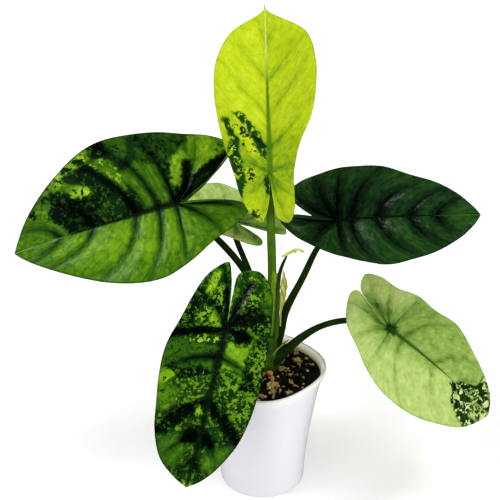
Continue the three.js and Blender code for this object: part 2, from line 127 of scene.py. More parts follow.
def hand_over(piece, slot, node, *finishes):
    """Gives a piece its finishes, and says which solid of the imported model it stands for."""
    for finish in finishes:
        piece.data.materials.append(finish)
    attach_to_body(piece, "root")
    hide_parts(node)
    print(piece.name, "has", len(piece.data.polygons), "faces")


# %% [markdown]
# ## A grid wrapped into a shape
# Stalks, sheaths, the pot's filling and the blades are all skins with two directions: round and along, or
# from the midrib out and from lobe to tip. A flat grid has the same two directions. It is added as a
# primitive, and each of its points is then moved to its place. The grid's own UV map stays on it, so a
# finish can follow the piece.

# %% Wrap a grid
def wrapped_grid(name, columns, rows, place, uv_name="round_and_along"):
    """place takes each point's shares across and along the grid, and gives its place in mm."""
    piece = add_piece(
        name, bpy.ops.mesh.primitive_grid_add, x_subdivisions=columns, y_subdivisions=rows, size=1
    )
    piece.data.uv_layers[0].name = uv_name
    across, along = (values_of(piece.data.vertices, "co", 3)[:, :2].astype(float) + 0.5).T
    place_points(piece, place(np.clip(across, 0, 1), np.clip(along, 0, 1)))
    return piece


def closed_skin(name, columns, rows, place, degrees=60):
    """A wrapped grid whose seam and ends are joined."""
    piece = wrapped_grid(name, columns, rows, place)
    finish_edges(piece, closed=True)
    smooth(piece, degrees)
    return piece


# %% [markdown]
# ## Finishes
# A finish starts from what the real surface is and how it was made. Colours are written as sRGB hex values,
# as a paint chart gives them, and one function turns them to the linear values that the shader works in.
# Another adds every node, with its settings and its links, and gives the output that the next node needs.

# %% Small helpers for finishes
def linear(colour):
    parts = [int(colour[i : i + 2], 16) / 255 for i in (1, 3, 5)]
    return tuple(p / 12.92 if p <= 0.04045 else ((p + 0.055) / 1.055) ** 2.4 for p in parts) + (1.0,)


def feed(node, sockets):
    """Fills a node's inputs by name or in order. Another node's output is linked, anything else is set."""
    for key, value in sockets.items() if isinstance(sockets, dict) else enumerate(sockets):
        if isinstance(value, bpy.types.NodeSocket):
            node.id_data.links.new(value, node.inputs[key])
        else:
            node.inputs[key].default_value = value


def add_node(material, kind, sockets=(), out=0, chart=(), **settings):
    """chart gives a colour ramp its stops, each a share from 0 to 1 and a colour."""
    made = material.node_tree.nodes.new("ShaderNode" + kind)
    for key, value in settings.items():
        setattr(made, key, value)
    feed(made, sockets)
    if chart:
        stops = made.color_ramp.elements
        stops.remove(stops[1])
        stops[0].position, stops[0].color = chart[0][0], linear(chart[0][1])
        for share, colour in chart[1:]:
            stops.new(share).color = linear(colour)
    return made.outputs[out]


def new_finish(name, **constants):
    """A material, its shader with the given constants, and add, which adds a node to it."""
    material = bpy.data.materials.new(name)
    material.use_nodes = True
    shader = material.node_tree.nodes["Principled BSDF"]
    feed(shader, {key.replace("_", " "): value for key, value in constants.items()})
    return material, shader, partial(add_node, material)


# %% [markdown]
# ## Camera, floor and light
# The photograph looks down on the plant by about 28 degrees, from some 1.05 m away, with a lens long enough
# that the pot hardly narrows. The camera comes first, because every later choice is judged through it.

# %% Camera
camera = add_piece(
    "Camera", bpy.ops.object.camera_add,
    location=(-0.0122, -0.8214, 0.69), rotation=(math.radians(61.8), 0, 0),
)
camera.data.sensor_width = 36
camera.data.lens = 75.6
bpy.context.scene.camera = camera
bpy.context.scene.view_settings.view_transform = "Standard"
bpy.context.scene.view_settings.gamma = 0.88
print("the camera's lens is", camera.data.lens, "mm")

# %% [markdown]
# The floor is a plain sheet of matt white paper with a barely visible speckle. It is lit a little from below,
# as in a studio's light tent, so that only a faint shadow is left beside the pot.

# %% Floor
floor = add_piece("floor", bpy.ops.mesh.primitive_plane_add, size=9, location=(0, 0, 0))
paper, shader, add = new_finish(
    "matt_white_paper", Roughness=0.85, IOR=1.45, Emission_Color=(1, 1, 1, 1), Emission_Strength=0.13
)
speckle = add("TexNoise", {"Vector": add("TexCoord", out="UV"), "Scale": 40, "Detail": 2})
feed(shader, {"Base Color": add("ValToRGB", [speckle], chart=[(0.3, "#f6f6f6"), (0.7, "#fafafa")])})
floor.data.materials.append(paper)
floor.visible_glossy = False

# %% [markdown]
# Large softboxes stand to the left, to the right and above, each far away, so that it lights the whole set
# alike. The wider its spread in degrees, the softer its shadows. Polarising sheets keep the softboxes and the
# white room out of the leaves' gloss: only a narrow striplight above the camera shines in them.

# %% Light
for name, place, spread, strength, mirrored in [
    ("softbox_left", (-1.9, -1.2, 1.1), 50, 1.0, False),
    ("softbox_right", (2.0, -1.2, 0.9), 50, 1.75, False),
    ("softbox_above", (0.1, 0.3, 2.2), 45, 1.2, False),
    ("striplight_above", (-1.2, -0.3, 1.6), 8, 0.7, True),
]:
    light = add_piece(name, bpy.ops.object.light_add, type="SUN", location=place)
    light.data.angle = math.radians(spread)
    light.data.energy = strength
    light.visible_glossy = mirrored
    light.rotation_euler = (-Vector(place)).to_track_quat("-Z", "Y").to_euler()
    print(name, "spreads over", spread, "degrees")
world = bpy.context.scene.world or bpy.data.worlds.new("white_room")
bpy.context.scene.world = world
world.use_nodes = True
feed(world.node_tree.nodes["Background"], {"Color": (1, 1, 1, 1), "Strength": 0.3})
world.cycles_visibility.glossy = False

# %% [markdown]
# ## The pot
# A thin-walled white nursery pot, moulded in one piece: round at the foot and a rounded square at the rim,
# which stands out as a lip. A ring of points is drawn up level by level, as on a lathe, and the levels are
# then pulled in on the flats. The drain holes are cut through the floor with a Boolean.

# %% The pot's form
FOOT_RADIUS = 41.2
POT_HEIGHT = 127
WALL_LEVELS = [12, 25, 38, 50, 62, 75, 88, 100, 110]


def wall_radius(z):
    """The outer radius below the lip, which flares out by 15 mm up to 118 mm."""
    return FOOT_RADIUS + 15 * (z / 118) ** 1.6


def pull_in(points):
    """Takes the flats of a round shape in, more towards the rim, so that it becomes a rounded square."""
    x, y, z = points.T
    pull = 0.035 * np.clip(z / POT_HEIGHT, 0, 1) ** 1.3 * (1 - np.cos(4 * np.arctan2(y, x)))
    return np.column_stack([x * (1 - pull), y * (1 - pull), z])


def pot_profile():
    """Radius and height of each level: up the outside, over the lip and down the inside to the floor."""
    outer = [(FOOT_RADIUS - 1.2, 0), (FOOT_RADIUS - 0.5, 0.15), (FOOT_RADIUS - 0.1, 0.7)]
    outer += [(wall_radius(z), z) for z in [1.5, *WALL_LEVELS, 119]]
    outer += [(wall_radius(120), 119.7), (58, 120.1), (58.5, 120.4), (58.8, 121)]
    lip = [(59.4, 123.5), (59.8, 125.4), (59.7, 126.2), (59.3, 126.8), (58.7, POT_HEIGHT)]
    lip += [(57.6, POT_HEIGHT), (57.1, 126.7), (56.8, 126.1), (56.2, 124.5)]
    inner = [(wall_radius(120) - 1.7, 120.5)] + [(wall_radius(z) - 1.8, z) for z in reversed(WALL_LEVELS)]
    inner += [(wall_radius(4.5) - 1.8, 4.5), (wall_radius(3) - 2.6, 2.9), (wall_radius(3) - 4, 2.4)]
    return outer + lip + inner


def draw_up_pot():
    profile = pot_profile()
    radius, height = profile[0]
    pot = add_piece(
        "nursery_pot", bpy.ops.mesh.primitive_circle_add, vertices=160, radius=radius * MM, fill_type="NGON"
    )
    bpy.ops.object.mode_set(mode="EDIT")
    bpy.ops.mesh.select_all(action="SELECT")
    bpy.ops.mesh.select_mode(type="FACE")
    for next_radius, next_height in profile[1:]:
        rise = (0, 0, (next_height - height) * MM)
        bpy.ops.mesh.extrude_region_move(TRANSFORM_OT_translate={"value": rise})
        bpy.ops.transform.resize(value=(next_radius / radius, next_radius / radius, 1))
        radius, height = next_radius, next_height
    bpy.ops.object.mode_set(mode="OBJECT")
    place_points(pot, pull_in(points_of(pot)))
    finish_edges(pot, closed=True)
    return pot


def cut_drain_holes(pot, count=6, ring=26, radius=4):
    drills = []
    for i in range(count):
        angle = 2 * math.pi * (i + 0.5) / count
        place = (ring * MM * math.cos(angle), ring * MM * math.sin(angle), 0)
        drills.append(add_piece(
            "drill", bpy.ops.mesh.primitive_cylinder_add, vertices=48, radius=radius * MM, depth=20 * MM,
            location=place,
        ))
    for drill in drills:
        drill.select_set(True)
    bpy.ops.object.join()
    drill = bpy.context.object
    cut = pot.modifiers.new("drain_holes", "BOOLEAN")
    cut.operation = "DIFFERENCE"
    cut.object = drill
    apply_all(pot)
    pick(drill)
    bpy.ops.object.delete()


pot = draw_up_pot()
cut_drain_holes(pot)
smooth(pot, 35)

# %% [markdown]
# The pot is white polypropylene, injection moulded. The mould leaves a satin skin with a very fine orange
# peel, and the thin wall is a little creamier at the lip, where handling and water have dulled it. The wall
# is a little translucent, and its inner side is given a painted glow: an emission in its own colour, which
# fades darker and yellower down towards the mix.

# %% The pot's finish
def moulded_polypropylene():
    material, shader, add = new_finish(
        "moulded_white_polypropylene", IOR=1.49,
        Subsurface_Weight=0.7, Subsurface_Radius=(0.009, 0.008, 0.006),
    )
    place = add("TexCoord", out="Object")
    lip = add("MapRange", [add("SeparateXYZ", [place], out="Z"), 0.112, 0.125])
    scuffs = add("TexNoise", {"Vector": place, "Scale": 55, "Detail": 5})
    creamy = add("Math", [lip, scuffs], operation="MULTIPLY")
    peel = add("TexNoise", {"Vector": place, "Scale": 900, "Detail": 2})
    feed(shader, {
        "Base Color": add("ValToRGB", [creamy], chart=[(0, "#e8e7ec"), (0.35, "#eeeded"), (0.7, "#f2f0e6")]),
        "Roughness": add("MapRange", [scuffs, 0, 1, 0.24, 0.4]),
        "Normal": add("Bump", {"Height": peel, "Strength": 0.12, "Distance": 0.0002}),
    })
    return material


def inner_wall_painted_glow():
    material, shader, add = new_finish(
        "inner_wall_with_painted_glow", Roughness=0.4, IOR=1.49, Emission_Strength=0.4
    )
    # Painted glow: the emission takes the inner side's own colour, darker and yellower down by the mix.
    height = add("SeparateXYZ", [add("TexCoord", out="Object")], out="Z")
    above_mix = add("MapRange", [height, 0.1185, 0.1265])
    tone = add(
        "ValToRGB", [above_mix], chart=[(0, "#8c8a58"), (0.3, "#c9c8a6"), (0.7, "#eeeddd"), (1, "#f6f5ea")]
    )
    feed(shader, {"Base Color": tone, "Emission Color": tone})
    return material


def mark_inner_side(pot):
    """Gives the second finish to the wall's faces that look at the pot's axis, below the lip."""
    for face in pot.data.polygons:
        x, y, z = face.center
        from_axis = math.hypot(x, y)
        looks_in = face.normal.x * x + face.normal.y * y < -0.3 * from_axis
        on_wall = 4 * MM < z < 126.5 * MM and from_axis > 35 * MM
        face.material_index = int(looks_in and on_wall)


pot.data.materials.clear()
mark_inner_side(pot)
hand_over(pot, "pot_plastic", "pot", moulded_polypropylene(), inner_wall_painted_glow())

# %% [markdown]
# ## The blades
# A blade is one thin sheet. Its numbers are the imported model's own: where the stalk meets it, where its tip
# is, where its upper side looks, and the half-widths of its outline. Left and right are as seen on the upper
# side with the tip pointing away. Round each half runs a margin index, from 0 where the lobes part, through
# the lobe's end at 3 and the stalk's level at 6, to 13 at the tip. fold is the midrib's fold in degrees.
# arch, quilt and wave are the heights of the long arch, of the swellings and of the waved margin. sinus is
# how far behind the stalk the lobes part, and swing moves the lobes aside. sweep is how late the side veins
# turn to the tip: 0 is a straight vein. veins lists them from the lobe to the tip: where each leaves the
# midrib, as a share of the blade, and its margin index on the left and on the right. Between two veins the
# blade swells.

# %% The leaves' numbers
STATIONS = [0, 0.17, 0.34, 0.51, 0.68, 0.84, 0.95]
INNER_AT = [0.45, 0.88]
OUTER_AT = [0.75, 0.38]

LEAVES = {
    "young_top": dict(
        attach=(5, 2, 324), tip=(0, 49, 456.5), face=(-0.02, -0.94, 0.33), fold=8, arch=2, sinus=4, swing=0,
        sweep=0.15, quilt=1.6, wave=1.2,
        left=dict(lobe=43, inner=[1.2, 5], centre=10, outer=[20, 27], width=[31, 38, 43, 45, 42, 29, 3.5]),
        right=dict(
            lobe=44, inner=[1.5, 5], centre=15, outer=[20, 20.5], width=[20.5, 26, 36.5, 41, 41, 33, 4.5]
        ),
        veins=[
            (0, 3.2, 3.2), (0, 4.7, 4.7), (0, 6.9, 6.4), (0.14, 8.6, 8.9), (0.34, 10.1, 10.4),
            (0.55, 11, 11), (0.76, 11.8, 11.8), (1, 13, 13),
        ],
    ),
    "broad_left": dict(
        attach=(-78, 28, 281.5), tip=(-225, 12, 239), face=(-0.08, -0.81, 0.58), fold=12, arch=8, sinus=10,
        swing=-9, sweep=0.65, quilt=4, wave=2.2,
        left=dict(
            lobe=60, inner=[7.5, 20], centre=31, outer=[38.5, 45],
            width=[54.5, 63, 61, 51.5, 37.5, 21.5, 8]
        ),
        right=dict(
            lobe=62, inner=[10, 23], centre=32, outer=[46, 56], width=[66, 70, 69.5, 62.5, 48, 28, 11]
        ),
        veins=[
            (0, 3.2, 3.2), (0, 4.6, 4.6), (0, 6.2, 6.8), (0.1, 7.6, 8.2), (0.235, 9.1, 9.2),
            (0.49, 10.7, 10.6), (0.7, 11.6, 11.6), (1, 13, 13),
        ],
    ),
    "dark_right": dict(
        attach=(66, 26, 266.5), tip=(194.5, 22, 273.5), face=(-0.06, -0.8, 0.6), fold=10, arch=6, sinus=22,
        swing=17, sweep=0.65, quilt=4, wave=1.8,
        left=dict(
            lobe=43.5, inner=[3.5, 8], centre=14, outer=[27, 38], width=[46, 46.5, 44.5, 37.5, 30, 19, 8]
        ),
        right=dict(
            lobe=51, inner=[3, 9.5], centre=16.5, outer=[25, 29], width=[33, 40, 44, 39.5, 33, 21.5, 9]
        ),
        veins=[
            (0, 3.3, 3.2), (0, 4.9, 4.8), (0, 6.2, 6.5), (0.095, 8, 7.7), (0.28, 9.7, 9.3),
            (0.51, 10.6, 10.4), (0.69, 11.3, 11.3), (1, 13, 13),
        ],
    ),
    "mottled_front": dict(
        attach=(-33, -54, 201), tip=(-68, -112, 74.5), face=(0.09, -0.91, 0.39), fold=6, arch=6, sinus=8,
        swing=-4, sweep=0.65, quilt=3.6, wave=1.6,
        left=dict(
            lobe=54, inner=[0.5, 4], centre=22, outer=[34, 37.5], width=[38.5, 40, 40, 38, 33, 21.5, 9]
        ),
        right=dict(
            lobe=56, inner=[0.5, 3.5], centre=8, outer=[23.5, 34],
            width=[41, 47.5, 47.5, 44, 39.5, 29.5, 12]
        ),
        veins=[
            (0, 3.3, 3.3), (0, 4.7, 4.7), (0, 6.3, 6.6), (0.17, 8, 8), (0.45, 10, 10), (0.66, 11.1, 11.1),
            (0.83, 12, 12), (1, 13, 13),
        ],
    ),
    "pale_right": dict(
        attach=(118, 0, 166.5), tip=(212, -24, 86), face=(0.28, -0.78, 0.56), fold=8, arch=8, sinus=8,
        swing=16, sweep=0.65, quilt=2, wave=1.6,
        left=dict(
            lobe=47, inner=[0.6, 1], centre=13, outer=[25, 31], width=[40.5, 40, 41.5, 36.5, 29, 19, 10]
        ),
        right=dict(
            lobe=47, inner=[0.5, 1.5], centre=13, outer=[31, 37.5], width=[44.5, 53, 55, 51, 42, 30, 13]
        ),
        veins=[
            (0, 3.3, 3.3), (0, 4.7, 4.7), (0, 6.2, 6.2), (0.1, 8.3, 8.3), (0.4, 10, 10.2),
            (0.64, 11.1, 11.1), (0.82, 12, 12), (1, 13, 13),
        ],
    ),
    "pale_back": dict(
        attach=(-29, 95, 230), tip=(-132.5, 154, 220.5), face=(-0.12, -0.05, 0.99), fold=17, arch=3,
        sinus=7, swing=10, sweep=0.65, quilt=1.8, wave=1.6,
        left=dict(
            lobe=45, inner=[4, 9], centre=17, outer=[29, 36.5], width=[40.5, 44, 44, 38.5, 30.5, 19.5, 8]
        ),
        right=dict(
            lobe=56, inner=[4, 9], centre=17, outer=[29, 36.5], width=[39.5, 42, 42, 37.5, 30.5, 19.5, 8]
        ),
        veins=[
            (0, 3.3, 3.3), (0, 4.7, 4.7), (0, 6.3, 6.3), (0.12, 8, 8), (0.32, 9.6, 9.6), (0.54, 10.7, 10.7),
            (0.76, 11.7, 11.7), (1, 13, 13),
        ],
    ),
}

# %% [markdown]
# The outline is a smooth curve through those half-widths, as a draughtsman's spline would draw it. A place on
# the blade is named by its phase, which counts the veins from lobe to tip, and by how far out it lies from
# the midrib to the margin.

# %% The outline
def unit(vector):
    vector = np.asarray(vector, dtype=float)
    return vector / np.linalg.norm(vector)


def blade_axes(leaf):
    """Where the stalk meets the blade, the directions along it, to its left and up, and its length."""
    attach = np.array(leaf["attach"], dtype=float)
    reach = np.array(leaf["tip"], dtype=float) - attach
    along = unit(reach)
    face = np.array(leaf["face"], dtype=float)
    up = unit(face - face.dot(along) * along)
    return attach, along, np.cross(up, along), up, np.linalg.norm(reach)


def smooth_curve(knots, at):
    """A curve through evenly numbered knots, at the given fractional numbers."""
    knots = np.asarray(knots, dtype=float)
    last = len(knots) - 1
    start = np.clip(np.floor(at).astype(int), 0, last - 1)
    w = (at - start)[:, None]
    before, a, b, after = (knots[np.clip(start + k, 0, last)] for k in (-1, 0, 1, 2))
    leave, arrive = (b - before) / 2, (after - a) / 2
    cubic, square = 2 * a - 2 * b + leave + arrive, 3 * b - 3 * a - 2 * leave - arrive
    return cubic * w**3 + square * w**2 + leave * w + a


def margin_at(leaf, half, length, index):
    half = leaf[half]
    free = half["lobe"] - leaf["sinus"]
    knots = [(-leaf["sinus"], 0)]
    knots += [(-leaf["sinus"] - share * free, half["inner"][i]) for i, share in enumerate(INNER_AT)]
    knots += [(-half["lobe"], half["centre"])]
    knots += [(-share * half["lobe"], half["outer"][i]) for i, share in enumerate(OUTER_AT)]
    knots += [(share * length, half["width"][i]) for i, share in enumerate(STATIONS)]
    knots += [(length, 0)]
    return smooth_curve(knots, index)


# %% [markdown]
# The side veins leave the midrib almost squarely and sweep towards the tip near the margin, and those of the
# lobes bend back. The height gives the blade its body: a fold along the midrib, a long arch, swellings
# between the veins and a waved margin. Small bulges ride on the large ones.

# %% The blade's surface
LOBE_BEND = 0.8
FOLD_SOFTNESS = 4
QUILT_FULLNESS = 0.6
QUILT_CREASE, LOBE_CREASE = 0.9, 1.6
QUILT_CALM, WAVE_CALM = 25, 12
WAVE_TURN = 2.1
FURROW_DEPTH, FURROW_WIDTH = 0.7, 2
BULGE = 0.2


def blade_surface(leaf, phase, out):
    """Each place in the blade's own plane, the height above it, and how far along and across it lies."""
    attach, along, left, up, length = blade_axes(leaf)
    veins = np.array([(0, 0, 0)] + leaf["veins"], dtype=float).T
    counts = range(len(veins[0]))
    root = length * np.interp(phase, counts, veins[0])
    on_left = out >= 0
    index = np.where(on_left, np.interp(phase, counts, veins[1]), np.interp(phase, counts, veins[2]))
    margins = [margin_at(leaf, half, length, index) for half in ("left", "right")]
    end = np.where(on_left[:, None], *margins)
    share = np.abs(out)
    ahead = end[:, 0] - root
    forward = (1 - leaf["sweep"]) * share + leaf["sweep"] * share**3
    backward = share + LOBE_BEND * np.minimum(1, phase) * share * (1 - share)
    s = root + ahead * np.where(ahead > 0, forward, backward)
    t = np.sign(out) * share * end[:, 1]
    lobe = (leaf["left"]["lobe"] + leaf["right"]["lobe"]) / 2
    lean = leaf["swing"] * (np.maximum(0, -s) / lobe) ** 1.5
    fold = (np.hypot(t, FOLD_SOFTNESS) - FOLD_SOFTNESS) * math.sin(math.radians(leaf["fold"]))
    arch = 4 * leaf["arch"] * s / length * (1 - s / length)
    crease = np.where(phase < 1, LOBE_CREASE, QUILT_CREASE)
    swell = np.abs(np.sin(math.pi * phase)) ** crease * np.minimum(1, end[:, 1] / QUILT_CALM)
    quilt = leaf["quilt"] * swell * (4 * share * (1 - share)) ** QUILT_FULLNESS
    wave = leaf["wave"] * share**3 * np.sin(WAVE_TURN * index + leaf["swing"])
    wave *= np.minimum(1, np.abs(t) / WAVE_CALM)
    furrow = FURROW_DEPTH * np.exp(-((t / FURROW_WIDTH) ** 2)) * np.clip(1 - s / length, 0, 1) * (s > 0)
    place = attach + np.outer(s, along) + np.outer(t + lean, left)
    bulges = np.array([noise.noise(Vector(p) / 7) + 0.5 * noise.noise(Vector(p) / 3.5) for p in place])
    bulges *= BULGE * leaf["quilt"] * swell * np.minimum(1, 3 * (1 - share))
    return place, fold + arch + quilt + wave - furrow + bulges, up, s, t + lean


# %% [markdown]
# The grid is wrapped one half on each side of the midrib, given a second UV map in centimetres along and
# across the blade, and given its thickness by a Solidify modifier. The under side then gets its round midrib
# and raised side veins. Distances to the nearest vein and to the midrib are stored on the points, because
# the finish follows them.

# %% Build a blade
VEIN_STEPS, OUT_STEPS = 28, 40
BLADE_THICKNESS = 0.7
MIDRIB_DEPTH, MIDRIB_HALF_WIDTH = 2.6, 3.2
VEIN_DEPTH, VEIN_HALF_WIDTH = 0.7, 1.4
FOLLOWED = ("vein_mm", "rib_mm", "along_mm", "out_share")


def vein_distance(phase, out, place, columns, rows):
    """How far each point is from the nearest side vein, in mm, measured squarely to the vein."""
    order = np.lexsort((phase, out))
    grid = place[order].reshape(rows + 1, columns + 1, 3)
    beside = np.gradient(grid, 8 / columns, axis=1)
    outward = np.gradient(grid, axis=0)
    reach = np.maximum(np.linalg.norm(outward, axis=2), 1e-6)
    pace = (np.linalg.norm(np.cross(beside, outward), axis=2) / reach).ravel()
    gap = np.where(phase < 0.6, 9, np.abs(phase - np.round(phase)))
    distance = np.empty(len(phase))
    distance[order] = gap[order] * pace
    return distance


def thicken_blade(blade, leaf):
    attach, along, left, up, length = blade_axes(leaf)
    upper = len(blade.data.vertices)
    thick = blade.modifiers.new("thickness", "SOLIDIFY")
    thick.thickness = BLADE_THICKNESS * MM
    thick.offset = -1
    thick.material_offset = thick.material_offset_rim = 1
    apply_all(blade)
    points = points_of(blade)
    vein, rib, s, out = (
        values_of(blade.data.attributes[key].data, "value").astype(float) for key in FOLLOWED
    )
    under = np.arange(len(points)) >= upper
    fade = np.clip(1 - np.maximum(s, 0) / length, 0, 1)
    depth = MIDRIB_DEPTH * np.exp(-((rib / MIDRIB_HALF_WIDTH) ** 2)) * fade
    depth += VEIN_DEPTH * np.exp(-((vein / VEIN_HALF_WIDTH) ** 2)) * (1 - out) ** 0.7
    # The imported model's margins are chords of the same curves, so its box is up to 0.1 mm the smaller.
    low, high = (np.array(corner) / MM for corner in cad_box)
    place_points(blade, np.clip(points - np.outer(depth * under, up), low, high))


def build_blade(name, finishes):
    leaf = LEAVES[name]
    columns, rows = 8 * VEIN_STEPS, 2 * OUT_STEPS
    kept = {}

    def place(along_share, across_share):
        phase, out = np.round(8 * along_share, 5), np.round(2 * across_share - 1, 5)
        flat, height, up, s, t = blade_surface(leaf, phase, out)
        rib = np.where(s < 0, np.hypot(s, t), np.abs(t))
        kept.update(zip(FOLLOWED, (vein_distance(phase, out, flat, columns, rows), rib, s, np.abs(out))))
        kept.update(zip(("shade", "flecks", "fleck_tone"), painted(s, t, *PATCHES[name])))
        kept["in_plane"] = np.column_stack([s, t]) / 10
        return flat + np.outer(height, up)

    blade = wrapped_grid(f"blade_{name}", columns, rows, place, uv_name="along_veins")
    corners = values_of(blade.data.loops, "vertex_index", kind=np.int32)
    in_plane = blade.data.uv_layers.new(name="in_plane")
    in_plane.data.foreach_set("uv", kept.pop("in_plane")[corners].astype(np.float32).ravel())
    for key, values in kept.items():
        blade.data.attributes.new(key, "FLOAT", "POINT").data.foreach_set("value", values.astype(np.float32))
    for finish in finishes:
        blade.data.materials.append(finish)
    finish_edges(blade, closed=False)
    thicken_blade(blade, leaf)
    smooth(blade, 60)
    return blade


# %% [markdown]
# ## Painting the variegation
# The plant's cells carry two kinds of green, and each leaf shows where they lie as patches bounded by its
# veins. Each patch is drawn as a polygon, its corners in mm along the blade from the stalk and across
# it from the midrib, left positive. shade runs from 0, blackish, to 1, palest. flecks is the share of small
# islands of the other green, and tone is their shade. The borders are roughened a little, as those of cells
# are.

# %% Patches of colour
def border_distance(s, t, corners):
    """How far inside a polygon each place is, in mm, and negative outside it."""
    nearest = np.full(len(s), np.inf)
    inside = np.zeros(len(s), dtype=bool)
    for (s1, t1), (s2, t2) in zip(corners, corners[1:] + corners[:1]):
        ds, dt = s2 - s1, t2 - t1
        share = np.clip(((s - s1) * ds + (t - t1) * dt) / (ds * ds + dt * dt), 0, 1)
        nearest = np.minimum(nearest, np.hypot(s - s1 - share * ds, t - t1 - share * dt))
        if t1 != t2:
            inside ^= ((t1 > t) != (t2 > t)) & (s < ds * (t - t1) / dt + s1)
    return np.where(inside, nearest, -nearest)


def painted(s, t, base, *patches):
    """Lays the patches over each other in order. Each gives its border's softness in mm, then its paint."""
    channels = [np.full(len(s), float(value)) for value in base]
    rough_s, rough_t = (
        2.2 * np.array([noise.noise((a / 3, b / 3, z)) + 0.5 * noise.noise((a, b, z)) for a, b in zip(s, t)])
        for z in (0, 9)
    )
    for soft, *paint, corners in patches:
        cover = np.clip(0.5 + border_distance(s + rough_s, t + rough_t, corners) / (2 * soft), 0, 1)
        for channel, value in zip(channels, paint):
            channel += (value - channel) * cover
    # The finish draws a lot for each island, mostly from 0 to 0.85. The share of islands becomes the lot
    # below which one shows, and drops under all lots where there are none.
    share = channels[1]
    channels[1] = 0.43 * np.minimum(1, share / 0.04) - 0.25 + 0.64 * share
    return channels


